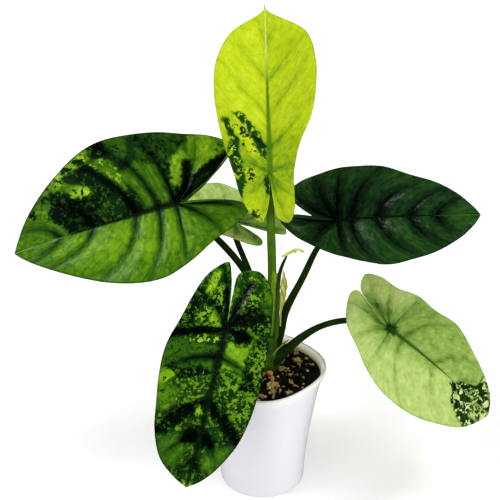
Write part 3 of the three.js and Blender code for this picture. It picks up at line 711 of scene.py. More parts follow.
# %% Where the patches lie: each leaf's ground, then soft, shade, flecks, tone and corners
PATCHES = {
    "young_top": [
        (0.76, 0, 0.3),
        (6, 0.8, 0, 0.3, [(28, 5), (128, 2), (122, 30), (95, 44), (60, 46), (52, 30), (40, 14)]),
        (5, 0.72, 0, 0.3, [(0, -1), (126, -1), (118, -36), (60, -46), (0, -24)]),
        (10, 0.59, 0, 0.3, [(34, -44), (34, 44), (-46, 26), (-46, -22)]),
        (8, 0.68, 0, 0.3, [(-14, -44), (-14, 44), (-46, 26), (-46, -22)]),
        (4, 0.66, 0, 0.3, [(112, -14), (113, -24), (101, -26), (102, -12)]),
        (2, 0.76, 0.3, 0.2, [(45, 30), (42, 22), (30, 14), (17, 10), (14, 14), (26, 22), (34, 29)]),
        (0.8, 0.2, 0.1, 0.7, [
            (53, 30), (52, 22), (44, 16), (34, 8), (22, 3), (10, 2), (14, 6), (20, 10), (27, 13), (36, 17),
            (42, 20), (46, 25),
        ]),
        (0.8, 0.2, 0.14, 0.7, [
            (48, 40), (48, 34), (40, 32), (31, 26), (20, 26), (8, 24), (2, 20), (-5, 21), (-22, 25),
            (-14, 30), (0, 32), (20, 35), (28, 33), (36, 34), (42, 38),
        ]),
        (1.2, 0.74, 0.5, 0.2, [(4, 23), (4, 15), (-6, 13), (-8, 19)]),
        (1, 0.74, 0.45, 0.2, [(-31, 18), (-33, 11), (-40, 5), (-41, 12), (-37, 18)]),
        (0.8, 0.18, 0.15, 0.7, [(-2, 5), (-2, 2), (-20, 0), (-20, 3), (-10, 4.5)]),
    ],
    "broad_left": [
        (0.59, 0, 0.8),
        (9, 0.67, 0, 0.3, [(-4, 4), (112, 3), (104, 24), (70, 38), (30, 44), (-6, 40)]),
        (1, 0.22, 0.1, 0.5, [
            (97, -1), (103, -10), (113, -20), (107, -27), (107, -41), (98, -39), (93, -36), (84, -30),
            (70, -28), (67, -31), (73, -36), (93, -46), (93, -51), (80, -51), (62, -58), (60, -69),
            (-30, -66), (-62, -50), (-62, -26), (-8, -1),
        ]),
        (2, 0.12, 0.2, 0.4, [(97, -1), (103, -10), (113, -20), (107, -27), (92, -30), (70, -26), (50, -2)]),
        (3, 0.3, 0.35, 0.5, [(66, -4), (66, -14), (56, -22), (44, -14), (42, -4)]),
        # This lighter patch on the swelling by the stalk is partly the leaf's green and partly painted light
        # on the dome.
        (2.5, 0.57, 0.03, 0.3, [(3, -3), (27, -3), (31, -18), (40, -38), (24, -46), (6, -42), (0, -18)]),
        (2, 0.58, 0.2, 0.78, [(38, -20), (50, -34), (64, -54), (60, -62), (44, -50), (34, -32)]),
        (4, 0.47, 0.08, 0.2, [(26, -46), (43, -48), (46, -70), (24, -72)]),
        (1.2, 0.78, 0.45, 0.25, [
            (101, -40), (97, -54), (84, -60), (66, -66), (62, -57), (74, -54), (92, -50), (90, -44),
        ]),
        (1, 0.8, 0.28, 0.3, [(88, -30), (85, -38), (77, -37), (70, -34), (68, -28), (80, -27)]),
        (1.5, 0.58, 0.35, 0.22, [(128, -20), (132, -32), (106, -50), (105, -42), (109, -28)]),
        (1.5, 0.12, 0.12, 0.45, [(60, -55), (60, -70), (46, -70), (47, -57)]),
        (2.5, 0.42, 0.2, 0.2, [
            (22, -44), (22, -70), (0, -66), (-28, -62), (-24, -44), (-4, -38), (6, -40),
        ]),
        (1.5, 0.72, 0.16, 0.8, [(-1, -16), (-6, -40), (-20, -47), (-25, -24), (-12, -13)]),
        (1.5, 0.72, 0.12, 0.78, [(-20, -20), (-22, -42), (-26, -56), (-54, -58), (-49, -33)]),
        (2, 0.06, 0, 0.3, [(-3, -3), (-13, -9), (-23, -34), (-17, -36), (-9, -14)]),
        (1.5, 0.08, 0, 0.3, [(-18, -14), (-34, -20), (-54, -30), (-54, -35), (-34, -27), (-20, -19)]),
        (1, 0.5, 0.3, 0.2, [(-15, -4), (-34, -13), (-48, -23), (-46, -27), (-30, -18), (-16, -9)]),
        (3, 0.62, 0.16, 0.3, [(-46, -34), (-46, -54), (-64, -50), (-64, -34)]),
    ],
    "dark_right": [
        (0.42, 0, 0.5),
        (6, 0.44, 0, 0.5, [(130, 1), (0, 1), (-45, 2), (-45, 40), (60, 45), (110, 24)]),
        (6, 0.34, 0, 0.45, [(60, 2), (0, 1), (-30, 4), (-20, 24), (30, 30), (60, 20)]),
        # These three lighter patches on the right half's swellings are partly the leaf's green and partly
        # painted light on the domes.
        (5, 0.46, 0, 0.6, [(44, -4), (62, -6), (84, -26), (90, -34), (74, -38), (58, -22)]),
        (5, 0.44, 0, 0.6, [(18, -6), (38, -8), (60, -28), (64, -42), (30, -42), (24, -24)]),
        (5, 0.5, 0, 0.6, [(128, 2), (128, -8), (112, -20), (100, -14), (98, -2), (102, 8), (118, 14)]),
        (3, 0.38, 0, 0.5, [(-4, 8), (-2, 26), (-12, 38), (-24, 30), (-12, 14)]),
    ],
    "mottled_front": [
        (0.36, 0.25, 0.62),
        (1.5, 0.34, 0.42, 0.68, [(74, 8), (79, 36), (38, 42), (38, 5)]),
        (0.8, 0.72, 0.03, 0.5, [
            (37, 24), (33, 16), (33, 3.5), (25, 2), (8, 5), (12, 12), (10, 22), (-2, 25), (-3.5, 30),
            (1.5, 29), (11.5, 24), (21.5, 22),
        ]),
        (1.5, 0.05, 0.06, 0.3, [(8, 22), (9, 10), (1, 5), (-2, 10), (-2, 20)]),
        (1.2, 0.1, 0.25, 0.5, [(46, 35), (49, 22), (40, 21), (38, 34)]),
        (1.5, 0.28, 0.45, 0.68, [(38, 42), (38, 30), (14, 26), (2, 30), (-4, 42)]),
        (2, 0.16, 0.35, 0.6, [(-2, 34), (-2, 6), (-20, 5), (-20, 34)]),
        (2, 0.56, 0.08, 0.3, [(-20, 34), (-22, 22), (-38, 23), (-40, 36)]),
        (1.5, 0.3, 0.45, 0.72, [(-16, 26), (-10, 13), (-34, 8), (-36, 22)]),
        (2, 0.08, 0, 0.3, [(-1, 2), (-10, 8), (-21, 28), (-16, 30), (-7, 14)]),
        (0.8, 0.76, 0.1, 0.4, [(-7, 1.2), (-7, -1), (-37, -4.5), (-37, 0)]),
        (2, 0.5, 0.35, 0.72, [(-46, 28), (-44, 10), (-60, 8), (-60, 28)]),
        (2, 0.5, 0.08, 0.3, [(15, -5), (38, -4), (42, -20), (42, -50), (20, -50), (15, -30)]),
        (1, 0.34, 0.4, 0.78, [(8, -5), (15, -5), (16, -29), (9, -29)]),
        (1.5, 0.38, 0.32, 0.68, [(46, -5), (64, -8), (72, -24), (76, -50), (50, -50), (47, -28)]),
        (1.5, 0.08, 0.2, 0.6, [(39, -3), (45, -18), (48, -28), (45, -41), (41, -41), (41, -28), (35, -15)]),
        (1, 0.74, 0.06, 0.4, [(46, -32), (56, -42), (57, -50), (43, -50), (42, -40)]),
        (2, 0.6, 0.12, 0.4, [(56, -26), (78, -32), (79, -52), (56, -52)]),
        (1.5, 0.04, 0, 0.3, [(3, -3), (9, -22), (16, -46), (11, -48), (4, -24)]),
        (2, 0.06, 0.05, 0.4, [
            (62, 0), (71, 10), (79, 22), (86, 32), (99, 38), (95, 24), (82, 14), (73, 4),
        ]),
        (2, 0.08, 0.12, 0.5, [
            (62, 0), (68, -12), (77, -24), (88, -34), (100, -44), (98, -30), (87, -22), (76, -9),
        ]),
        (4, 0.6, 0.04, 0.5, [(99, 30), (128, 20), (122, 6), (104, 11)]),
        (4, 0.57, 0.06, 0.5, [(126, -16), (124, -30), (106, -34), (96, -22), (104, -9)]),
        (2, 0.08, 0, 0.3, [(104, 1), (103, 12), (97, 14), (88, 3)]),
        (2, 0.08, 0, 0.3, [(102, -2), (102, -15), (91, -14), (86, -3)]),
        (1.5, 0.44, 0.5, 0.8, [(77, -4), (75, -11), (65, -9), (67, -3)]),
        (1, 0.74, 0.08, 0.4, [(0, -5), (0, -14), (-6, -18), (-16, -14), (-12, -5)]),
        (1.5, 0.3, 0.42, 0.74, [
            (0, -14), (-4, -28), (-36, -18), (-38, -8), (-14, -6), (-16, -14), (-6, -18),
        ]),
        (1, 0.76, 0.1, 0.4, [(-24, -18), (-25, -25), (-46, -22), (-48, -14)]),
        (1.5, 0.14, 0.25, 0.6, [(2, -30), (-24, -25), (-32, -34), (0, -50)]),
        (2, 0.42, 0.25, 0.66, [(-40, -3), (-44, -14), (-60, -16), (-60, -2)]),
        (2, 0.92, 0, 0.5, [(138, 4), (138, -4), (150, -4), (150, 4)]),
    ],
    "pale_right": [
        (0.79, 0, 0.5),
        (6, 0.62, 0, 0.56, [(0, 1), (96, 1), (96, 26), (60, 42), (0, 44)]),
        (10, 0.6, 0, 0.4, [
            (8, 28), (30, 10), (50, 3), (50, -4), (22, -12), (-4, -14), (-22, -4), (-20, 14),
        ]),
        (5, 0.55, 0, 0.3, [(2, 10), (4, -4), (-14, -4), (-32, 3), (-34, 13), (-12, 14)]),
        (2, 0.5, 0, 0.5, [(-10, 7), (-36, 11), (-35, 13.5), (-11, 11)]),
        (2, 0.1, 0, 0.3, [(5, 2.4), (5, -2.4), (0, -4), (-4, -2), (-4, 2.4), (0, 4)]),
        (0.8, 0.12, 0.32, 0.95, [
            (95, 27), (98, 12), (86, 6), (73, -3), (80, -9), (83, -18), (106, -28), (120, -16), (130, 0),
            (118, 16), (104, 24),
        ]),
        (1, 0.86, 0.35, 0.22, [(127, 1), (122, -13), (107, -16), (104, -5), (112, 1)]),
        (1, 0.9, 0.2, 0.22, [(104, 7), (102, -2), (95, 0), (97, 8)]),
        (1, 0.8, 0.42, 0.2, [(108, 26), (122, 12), (116, 10), (106, 17)]),
    ],
    "pale_back": [
        (0.76, 0, 0.6),
        (8, 0.56, 0, 0.5, [(0, -30), (0, 30), (-50, 30), (-50, -30)]),
        (8, 0.7, 0, 0.55, [(20, 0), (100, 0), (90, 24), (20, 36)]),
    ],
}

# %% [markdown]
# ## The blades' finish
# A living leaf has a waxy cuticle: a thin clear skin over green cells, with a low gloss and an IOR near 1.42.
# The upper side shows the painted greens, darker in the lines of the pressed veins, with painted shade in
# the valleys beside them. A net of small veins, 2 to 3 mm apart, breaks up the gloss. The under side is
# paler and duller, because its cells are loosely packed.

# %% The leaf's upper side
EASED = dict(interpolation_type="SMOOTHSTEP")
TIMES, TIMES_PLUS, LESS = (dict(operation=name) for name in ("MULTIPLY", "MULTIPLY_ADD", "SUBTRACT"))


def leaf_finish(
    name, chart, vein_tone_and_shade, valley_mm, rib_widths, rib_dark_to, roughness,
    streaked=0.34, clouded=0.12, dark_rib=None, pale_rib="#90ab58", islands_per_cm=(2.6, 5.4),
):
    material, shader, add = new_finish(name, IOR=1.42, Specular_IOR_Level=0.4)
    plane, veins = (add("UVMap", uv_map=layer) for layer in ("in_plane", "along_veins"))
    vein_mm, rib_mm, along_mm, out_share, shade, flecks, fleck_tone = (
        add("Attribute", out="Fac", attribute_name=key)
        for key in (*FOLLOWED, "shade", "flecks", "fleck_tone")
    )

    # Along the veins the greens are streaked: one unit of this map is the whole way from lobe to tip.
    stretched = add("Mapping", {"Vector": veins, "Scale": (60, 11, 1)})
    streaks = add("TexNoise", {"Vector": stretched, "Scale": 1, "Detail": 3, "Roughness": 0.6})
    clouds = add("TexNoise", {"Vector": plane, "Scale": 1.1, "Detail": 4, "Roughness": 0.6})

    # The flecks are islands of cells 1 to 3 mm across, each wholly of one green, with torn borders.
    warp = add("TexNoise", {"Vector": plane, "Scale": 4, "Detail": 3}, out="Color")
    torn = add("VectorMath", [warp, (0.4, 0.4, 0), plane], **TIMES_PLUS)
    large, small = (
        add("SeparateColor", [add("TexVoronoi", {"Vector": torn, "Scale": scale}, out="Color")])
        for scale in islands_per_cm
    )
    lot = add("Math", [large, 0.6, add("Math", [small, 0.4], **TIMES)], **TIMES_PLUS)
    lot = add("Math", [clouds, 0.8, lot], **TIMES_PLUS)
    island = add("MapRange", [add("Math", [lot, flecks], **LESS), 0.35, 0.45, 1, 0], **EASED)
    value = add("Mix", {0: island, 2: shade, 3: fleck_tone})
    value = add("Math", [clouds, clouded, value], **TIMES_PLUS)
    value = add("Math", [streaks, streaked, value], **TIMES_PLUS)

    # Each vein's line is a darker green, and the valley beside it gets painted shade,
    # most of all near the midrib.
    line = add("MapRange", [vein_mm, 0.2, 1.6, 0.25 * vein_tone_and_shade, 0], **EASED)
    valley = add("MapRange", [vein_mm, 0, valley_mm, 0.75 * vein_tone_and_shade, 0], **EASED)
    inward = add("Math", [1.2, out_share], **LESS)
    dark = add("Math", [add("Math", [line, valley]), inward], **TIMES)
    value = add("Math", [value, dark], **LESS)
    # Lesser veins part the swellings into fields about a centimetre across.
    fields = add("TexVoronoi", {"Vector": torn, "Scale": 1}, feature="DISTANCE_TO_EDGE")
    lesser = add("MapRange", [fields, 0, 0.16, 1, 0], **EASED)
    value = add("Math", [lesser, -0.04, value], **TIMES_PLUS)
    # The margin is dark too. Both noises lie round 0.5, so half of what they add is taken off again.
    added = 0.5 * (clouded + streaked)
    margin = add("MapRange", [out_share, 1, 0.975, 0.16 + added, added], **EASED)
    greens = add("ValToRGB", [add("Math", [value, margin], **LESS)], chart=chart)

    # The midrib: a dark furrow near the stalk that turns into a fine pale line towards the tip.
    rib_width = add("MapRange", [along_mm, 0, rib_dark_to, *rib_widths])
    rib = add("Math", [rib_mm, rib_width], operation="DIVIDE")
    rib = add("MapRange", [rib, 0.4, 1.3, 0.85, 0], **EASED)
    near_tip = add("MapRange", [along_mm, rib_dark_to - 12, rib_dark_to + 12])
    rib_ends = {6: linear(dark_rib or chart[1][1]), 7: linear(pale_rib)}
    rib_tone = add("Mix", {0: near_tip, **rib_ends}, out=2, data_type="RGBA")
    upper = add("Mix", {0: rib, 6: greens, 7: rib_tone}, out=2, data_type="RGBA")

    net = add("TexVoronoi", {"Vector": plane, "Scale": 3.6}, feature="DISTANCE_TO_EDGE")
    grain = add("TexNoise", {"Vector": plane, "Scale": 14, "Detail": 3, "Roughness": 0.6})
    relief = add("Math", [grain, 0.35, add("Math", [net, 0.8], operation="MINIMUM")], **TIMES_PLUS)
    relief = add("Math", [lesser, -0.35, relief], **TIMES_PLUS)
    feed(shader, {
        "Base Color": upper,
        "Roughness": add("MapRange", [clouds, 0.2, 0.8, roughness - 0.07, roughness + 0.09]),
        "Normal": add("Bump", {"Height": relief, "Strength": 0.45, "Distance": 0.0006}),
    })
    return material


# %% The leaf's under side
def under_finish(name, chart):
    material, shader, add = new_finish(name, Roughness=0.55, IOR=1.42)
    plane = add("UVMap", uv_map="in_plane")
    shade, vein_mm = (add("Attribute", out="Fac", attribute_name=key) for key in ("shade", "vein_mm"))
    clouds = add("TexNoise", {"Vector": plane, "Scale": 1.6, "Detail": 5})
    share = add("Math", [add("Math", [clouds, 0.3, shade], **TIMES_PLUS), 0.15], **LESS)
    raised = add("MapRange", [vein_mm, 0, 1.6, 0.5, 0])
    tones = {6: add("ValToRGB", [share], chart=chart), 7: linear("#a9bd7c")}
    net = add("TexVoronoi", {"Vector": plane, "Scale": 3.6}, feature="DISTANCE_TO_EDGE")
    feed(shader, {
        "Base Color": add("Mix", {0: raised, **tones}, out=2, data_type="RGBA"),
        "Normal": add("Bump", {"Height": net, "Strength": 0.4, "Distance": 0.0006}, invert=True),
    })
    return material


# %% [markdown]
# Each leaf has its own chart of greens, from its blackish patches to its palest ones. vein_tone_and_shade is
# how much
# its veins darken it: a darker green in each vein's line, and painted shade in the valley over valley_mm on
# each side. The midrib's furrow narrows from the first of rib_widths to the second, in mm, and is dark up to
# rib_dark_to along the blade. streaked and clouded are how strongly the greens vary, and islands_per_cm is
# how fine the two sizes of islands are.

# %% The six blades
DARK_GREENS = [
    (0, "#030a04"), (0.18, "#0a1f0d"), (0.36, "#1b3f10"), (0.55, "#42700c"), (0.72, "#79a21a"),
    (0.86, "#adc93a"), (1, "#d6e27c"),
]
DEEP_GREENS = [
    (0, "#040a08"), (0.18, "#0c1f11"), (0.36, "#1b3a19"), (0.55, "#305722"), (0.72, "#4c7a30"),
    (0.86, "#7da34c"), (1, "#b0c880"),
]
LIME_GREENS = [
    (0, "#0a2a0a"), (0.25, "#1d5210"), (0.45, "#5c8a08"), (0.62, "#9fb60a"), (0.78, "#bdd01c"),
    (0.9, "#cfdd40"), (1, "#dfe978"),
]
PALE_GREENS = [
    (0, "#0c2408"), (0.25, "#2a5212"), (0.45, "#63862f"), (0.62, "#90ac55"), (0.76, "#aec471"),
    (0.9, "#c6d390"), (1, "#dfe6bc"),
]
BLADE_LOOKS = {
    "young_top": ("leaf_lime", dict(
        chart=LIME_GREENS, vein_tone_and_shade=0.13, valley_mm=5, rib_widths=(3.2, 0.8), rib_dark_to=88,
        roughness=0.45, dark_rib="#4c7c08", pale_rib="#c6d878",
    )),
    "broad_left": ("leaf_green", dict(
        chart=DARK_GREENS, vein_tone_and_shade=0.34, valley_mm=6, rib_widths=(3.4, 0.4), rib_dark_to=105,
        roughness=0.3,
    )),
    "dark_right": ("leaf_dark", dict(
        chart=DEEP_GREENS, vein_tone_and_shade=0.36, valley_mm=9, rib_widths=(1.4, 0.4), rib_dark_to=95,
        roughness=0.25, streaked=0.6, pale_rib="#4f7a28",
    )),
    "mottled_front": ("leaf_mottled", dict(
        chart=DARK_GREENS, vein_tone_and_shade=0.42, valley_mm=6, rib_widths=(4.4, 2), rib_dark_to=150,
        roughness=0.24, islands_per_cm=(3.6, 8),
    )),
    "pale_right": ("leaf_pale", dict(
        chart=PALE_GREENS, vein_tone_and_shade=0.17, valley_mm=6, rib_widths=(2.4, 0.5), rib_dark_to=70,
        roughness=0.48, clouded=0.3,
    )),
    "pale_back": ("leaf_pale", dict(
        chart=PALE_GREENS, vein_tone_and_shade=0.22, valley_mm=6, rib_widths=(2, 0.5), rib_dark_to=70, roughness=0.48,
        clouded=0.3,
    )),
}

for name, (slot, look) in BLADE_LOOKS.items():
    upper_finish = leaf_finish(f"waxy_leaf_{name}", **look)
    lower_finish = under_finish(f"dull_leaf_under_side_{name}", look["chart"])
    hand_over(build_blade(name, [upper_finish, lower_finish]), slot, f"leaf_blade_{name}")

# %% [markdown]
# ## The leaf stalks
# Each blade is carried by a round, fleshy stalk, a petiole, which is widest where it clasps the stem and
# thinnest under the blade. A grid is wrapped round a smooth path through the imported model's own points. Its
# first and last rows are drawn together, so the ends are closed. The top end is sunk in the round midrib on
# the blade's under side, where the two grow into each other.

# %% A skin round a path
def path_through(points, count):
    """Points at equal steps along a smooth curve through the given ones."""
    knots = np.asarray(points, dtype=float)
    knots = np.vstack([2 * knots[0] - knots[1], knots, 2 * knots[-1] - knots[-2]])
    dense = []
    for p0, p1, p2, p3 in zip(knots, knots[1:], knots[2:], knots[3:]):
        d0, d1, d2 = (math.sqrt(np.linalg.norm(b - a)) for a, b in ((p0, p1), (p1, p2), (p2, p3)))
        leave = ((p1 - p0) / d0 - (p2 - p0) / (d0 + d1) + (p2 - p1) / d1) * d1
        arrive = ((p2 - p1) / d1 - (p3 - p1) / (d1 + d2) + (p3 - p2) / d2) * d1
        w = np.linspace(0, 1, 40, endpoint=False)[:, None]
        cubic = 2 * p1 - 2 * p2 + leave + arrive
        square = 3 * p2 - 3 * p1 - 2 * leave - arrive
        dense.append(cubic * w**3 + square * w**2 + leave * w + p1)
    dense = np.vstack(dense + [knots[-2]])
    walked = np.concatenate([[0], np.cumsum(np.linalg.norm(np.diff(dense, axis=0), axis=1))])
    at = np.linspace(0, walked[-1], count)
    return np.column_stack([np.interp(at, walked, dense[:, i]) for i in range(3)])


def directions_along(path):
    """At each point of a path, its direction and two directions square to it that don't twist."""
    ahead = np.gradient(path, axis=0)
    ahead /= np.linalg.norm(ahead, axis=1)[:, None]
    sides = []
    side = np.array([1.0, 0.0, 0.0])
    for direction in ahead:
        side = unit(side - side.dot(direction) * direction)
        sides.append(side)
    return ahead, np.array(sides), np.cross(ahead, sides)


def oval(angle, wide, deep, sides, others):
    return sides * (wide * np.cos(angle))[:, None] + others * (deep * np.sin(angle))[:, None]


def skin(name, path_points, radius_at, columns=28, rows=110):
    """radius_at takes shares along and the angle round, and gives the two radii of the section, in mm."""
    path = path_through(path_points, rows - 1)
    ahead, sides, others = directions_along(path)

    def place(round_share, along_share):
        ring = np.rint(along_share * rows).astype(int)
        step = np.clip(ring - 1, 0, rows - 2)
        angle = 2 * math.pi * round_share
        wide, deep = radius_at(step / (rows - 2), angle)
        is_open = (ring > 0) & (ring < rows)
        out = oval(angle, wide * is_open, deep * is_open, sides[step], others[step])
        bulge = np.where(ring == 0, -0.25, np.where(ring == rows, 0.25, 0)) * wide
        return path[step] + out + ahead[step] * bulge[:, None]

    return closed_skin(name, columns, rows, place)


# %% The stalks' numbers: each path up to the blade, and the radii at the stem, half way and the blade
PETIOLES = {
    "young_top": ([(5, 4, 152), (7.5, 0, 200), (7.4, -2, 235), (5.6, -0.5, 285)], (4.4, 3.9, 3.3)),
    "dark_right": (
        [(11, 6, 139), (16.5, 8, 160), (20.4, 11, 178.5), (36, 17, 211), (50, 22, 241.5)], (4.6, 3.2, 2.3)
    ),
    "broad_left": ([(-1, 5, 148), (-6, 9, 180), (-14, 13, 214.5), (-40.3, 21, 248)], (4.6, 3.2, 2.7)),
    "pale_back": (
        [(4, 12, 138), (0, 30, 155.5), (-6, 50, 172.5), (-14, 70, 191), (-25.4, 88, 213.5)], (4.2, 3.1, 2.6)
    ),
    "mottled_front": ([(0, 0, 132), (-9, -14, 160), (-18, -32, 188), (-25, -45, 199)], (4.6, 3.7, 3.1)),
    "pale_right": (
        [(6, 2, 122), (13, -2, 134), (34.5, 0, 156.5), (55, 6, 166.5), (81.4, 14, 167.2), (103, 10, 163.5)],
        (5.2, 2.9, 2.5),
    ),
}
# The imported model's stalks stop this far below the blade, under its midrib. The fine ones go on into it.
SEAT_DEPTH = 3.7
SUNK_DEPTH, SUNK_ALONG = 0.9, 1.5


def build_petiole(name, path, radii):
    attach, along, left, up, length = blade_axes(LEAVES[name])
    slope = abs(unit(attach - SEAT_DEPTH * up - np.array(path[-1])).dot(up))
    seat = attach - (SUNK_DEPTH + radii[2] * math.sqrt(1 - slope**2)) * up + SUNK_ALONG * along

    def radius_at(share, angle):
        uneven = 1 + 0.012 * np.cos(9 * angle) + 0.02 * np.sin(share * 23)
        radius = np.interp(share, [0, 0.5, 1], radii) * uneven
        return radius, radius

    return skin(f"stalk_{name}", [*path, tuple(seat)], radius_at)


# %% [markdown]
# A stalk is smooth green skin over wet pith, with a waxy gloss. Fine pale streaks run along it.

# %% The stalks' finish
def stalk_finish(name, deep, mid, light, roughness=0.38, streaks=60):
    material, shader, add = new_finish(name, Roughness=roughness, IOR=1.45, Specular_IOR_Level=0.35)
    skin_map = add("UVMap", uv_map="round_and_along")
    stretched = add("Mapping", {"Vector": skin_map, "Scale": (streaks, 5, 1)})
    lines = add("TexNoise", {"Vector": stretched, "Scale": 1, "Detail": 4})
    clouds = add("TexNoise", {"Vector": add("TexCoord", out="Object"), "Scale": 90, "Detail": 3})
    share = add("Math", [lines, clouds], **TIMES)
    feed(shader, {
        "Base Color": add("ValToRGB", [share], chart=[(0.12, deep), (0.26, mid), (0.42, light)]),
        "Normal": add("Bump", {"Height": lines, "Strength": 0.25, "Distance": 0.0004}),
    })
    return material


stalk_looks = {
    "petiole_light": stalk_finish("fleshy_stalk_light_green", "#385e02", "#4c7404", "#64880c"),
    "petiole_dark": stalk_finish("fleshy_stalk_dark_green", "#102602", "#1a3604", "#2b4a0a"),
}

# %% The six stalks
for name, (path, radii) in PETIOLES.items():
    slot = "petiole_light" if name == "young_top" else "petiole_dark"
    hand_over(build_petiole(name, path, radii), slot, f"petiole_{name}", stalk_looks[slot])


# %% [markdown]
# The foot of the right-hand stalk is drawn out to a thin wing with a dry, olive edge, where it once wrapped
# the stalks inside it.

# %% The wing along the foot of the right-hand stalk
def wing_radius(share, angle):
    return np.interp(share, [0, 0.3, 0.8, 1], [0.5, 1.0, 0.9, 0.3]), 0.55


WING_PATH = [
    (7.6, -5, 139), (11.4, -5.2, 145.6), (16.6, -4.4, 150.6), (20.9, -3.4, 154.4), (23.6, -2.4, 156.8),
]
wing = skin("stalk_wing_pale_right", WING_PATH, wing_radius, columns=16, rows=60)
olive = stalk_finish("dry_edged_wing_olive", "#4d6616", "#7d8f2e", "#a9ae52", 0.5)
hand_over(wing, "petiole_dark", "petiole_pale_right", olive)

# %% [markdown]
# ## The crown
# Below the stalks is a short thick stem, a corm, mostly hidden in the mix. Its neck is wrapped in the bases
# of the stalks, which leave ringed scars.

# %% The neck: radius and height of each level
NECK = [
    (0, 84), (8, 88), (13, 97), (14, 107), (12.5, 116),
    (12.5, 126), (11.4, 138), (9.9, 152), (8.2, 165), (0, 168.6),
]
NECK_AXIS = 4


def neck_place(round_share, along_share):
    angle = 2 * math.pi * round_share
    r, z = (np.interp(along_share * (len(NECK) - 1), range(len(NECK)), level) for level in zip(*NECK))
    scar = 0.16 * np.sin(z * 0.8 + 2.2 * np.sin(angle + 0.7)) * (r > 3)
    r = np.maximum(0, r * (1 + 0.03 * np.sin(3 * angle + z * 0.12)) - 0.45 + scar)
    r = np.where((along_share <= 0) | (along_share >= 1), 0, r)
    return np.column_stack([NECK_AXIS + r * np.cos(angle), NECK_AXIS + r * np.sin(angle), z])


olive = stalk_finish("fleshy_neck_olive_green", "#213f08", "#36600c", "#5b7f1e", 0.42, 24)
hand_over(closed_skin("neck_and_corm", 56, 120, neck_place), "stem", "stem_and_corm", olive)


# %% [markdown]
# The young leaf's stalk comes out of a light green sheath with a slanting mouth. The sheath is a thin tube
# open at both ends, so its grid is joined along the seam only and then given its wall by Solidify.

# %% The young leaf's sheath
def build_sheath():
    last = 89
    path = path_through([(7, 3, 162), (9, 0, 200), (9.2, -1.5, 233)], last + 1)
    ahead, sides, others = directions_along(path)

    def place(round_share, along_share):
        angle = 2 * math.pi * round_share
        mouth = 1 - 0.15 * np.sqrt((1 - np.cos(angle - 4.5)) / 2) - 0.01 * np.sin(3 * angle)
        walk = along_share * mouth * last
        step = np.floor(np.clip(walk, 0, last - 1)).astype(int)
        part = (walk - step)[:, None]
        middle = path[step] * (1 - part) + path[step + 1] * part
        r = np.interp(along_share * mouth, [0, 0.5, 1], [7.05, 5.85, 4.45]) * (1 + 0.02 * np.cos(7 * angle))
        return middle + oval(angle, r, r, sides[step], others[step])

    sheath = wrapped_grid("young_leaf_sheath", 64, 70, place)
    finish_edges(sheath, closed=False)
    wall = sheath.modifiers.new("wall", "SOLIDIFY")
    wall.thickness = 0.6 * MM
    wall.offset = -1
    apply_all(sheath)
    smooth(sheath, 60)
    return sheath


light_green = stalk_finish("sheath_light_green", "#527a08", "#739a10", "#9ab92c", 0.42, 40)
hand_over(build_sheath(), "sheath", "leaf_sheath", light_green)


# %% [markdown]
# Beside the sheath stands a spent one, dark and drawn out to a horn, with a pale shrivelled tip, and on the
# right a dry one hangs on as a papery strip. They have lost their green from the tip down. They are dead,
# papery and matt: pale yellow where they dried last, brown where they dried first.

# %% The spent sheaths' forms
def horn_radius(share, angle):
    base = np.interp(share, [0, 0.5, 0.75, 0.88, 0.96, 1], [2.0, 2.1, 1.8, 1.5, 1.1, 0.7])
    return base, base * (1 + 0.05 * np.sin(2 * angle + 9 * share))


def horn_tip_radius(share, angle):
    shares, radii = [0, 0.08, 0.3, 0.42, 0.6, 0.72, 0.86, 1], [0.4, 1.1, 1.6, 1.3, 1.9, 1.2, 1.3, 0.5]
    base = np.interp(share, shares, radii)
    folds = 1 + 0.22 * np.sin(3 * angle + 16 * share) + 0.16 * np.sin(33 * share)
    return base * folds, 0.7 * base * folds


def strip_radius(share, angle):
    base = np.interp(share, [0, 0.25, 0.4, 0.58, 0.78, 0.92, 1], [0.6, 0.9, 2.2, 3.1, 2.8, 1.3, 0.4])
    crumple = 1 + 0.1 * np.sin(19 * share + 2 * angle) + 0.07 * np.sin(47 * share)
    return base * crumple, 0.4 * base * (1 + 0.3 * np.sin(31 * share + 3 * angle))


# %% The spent sheaths' finish
def spent_finish(name, way, chart, roughness=0.7):
    """way is X for colours that change round the piece, and Y for ones that change along it."""
    material, shader, add = new_finish(name, Roughness=roughness, IOR=1.45)
    skin_map = add("UVMap", uv_map="round_and_along")
    blotch = add("TexNoise", {"Vector": add("TexCoord", out="Object"), "Scale": 220, "Detail": 4})
    share = add("Math", [blotch, 0.12, add("SeparateXYZ", [skin_map], out=way)], **TIMES_PLUS)
    tone = add("ValToRGB", [add("Math", [share, 0.06], **LESS)], chart=chart)
    stretched = add("Mapping", {"Vector": skin_map, "Scale": (26, 6, 1)})
    lines = add("TexNoise", {"Vector": stretched, "Scale": 1, "Detail": 4})
    bump = add("Bump", {"Height": lines, "Strength": 0.5, "Distance": 0.0006})
    feed(shader, {"Base Color": tone, "Normal": bump})
    return material


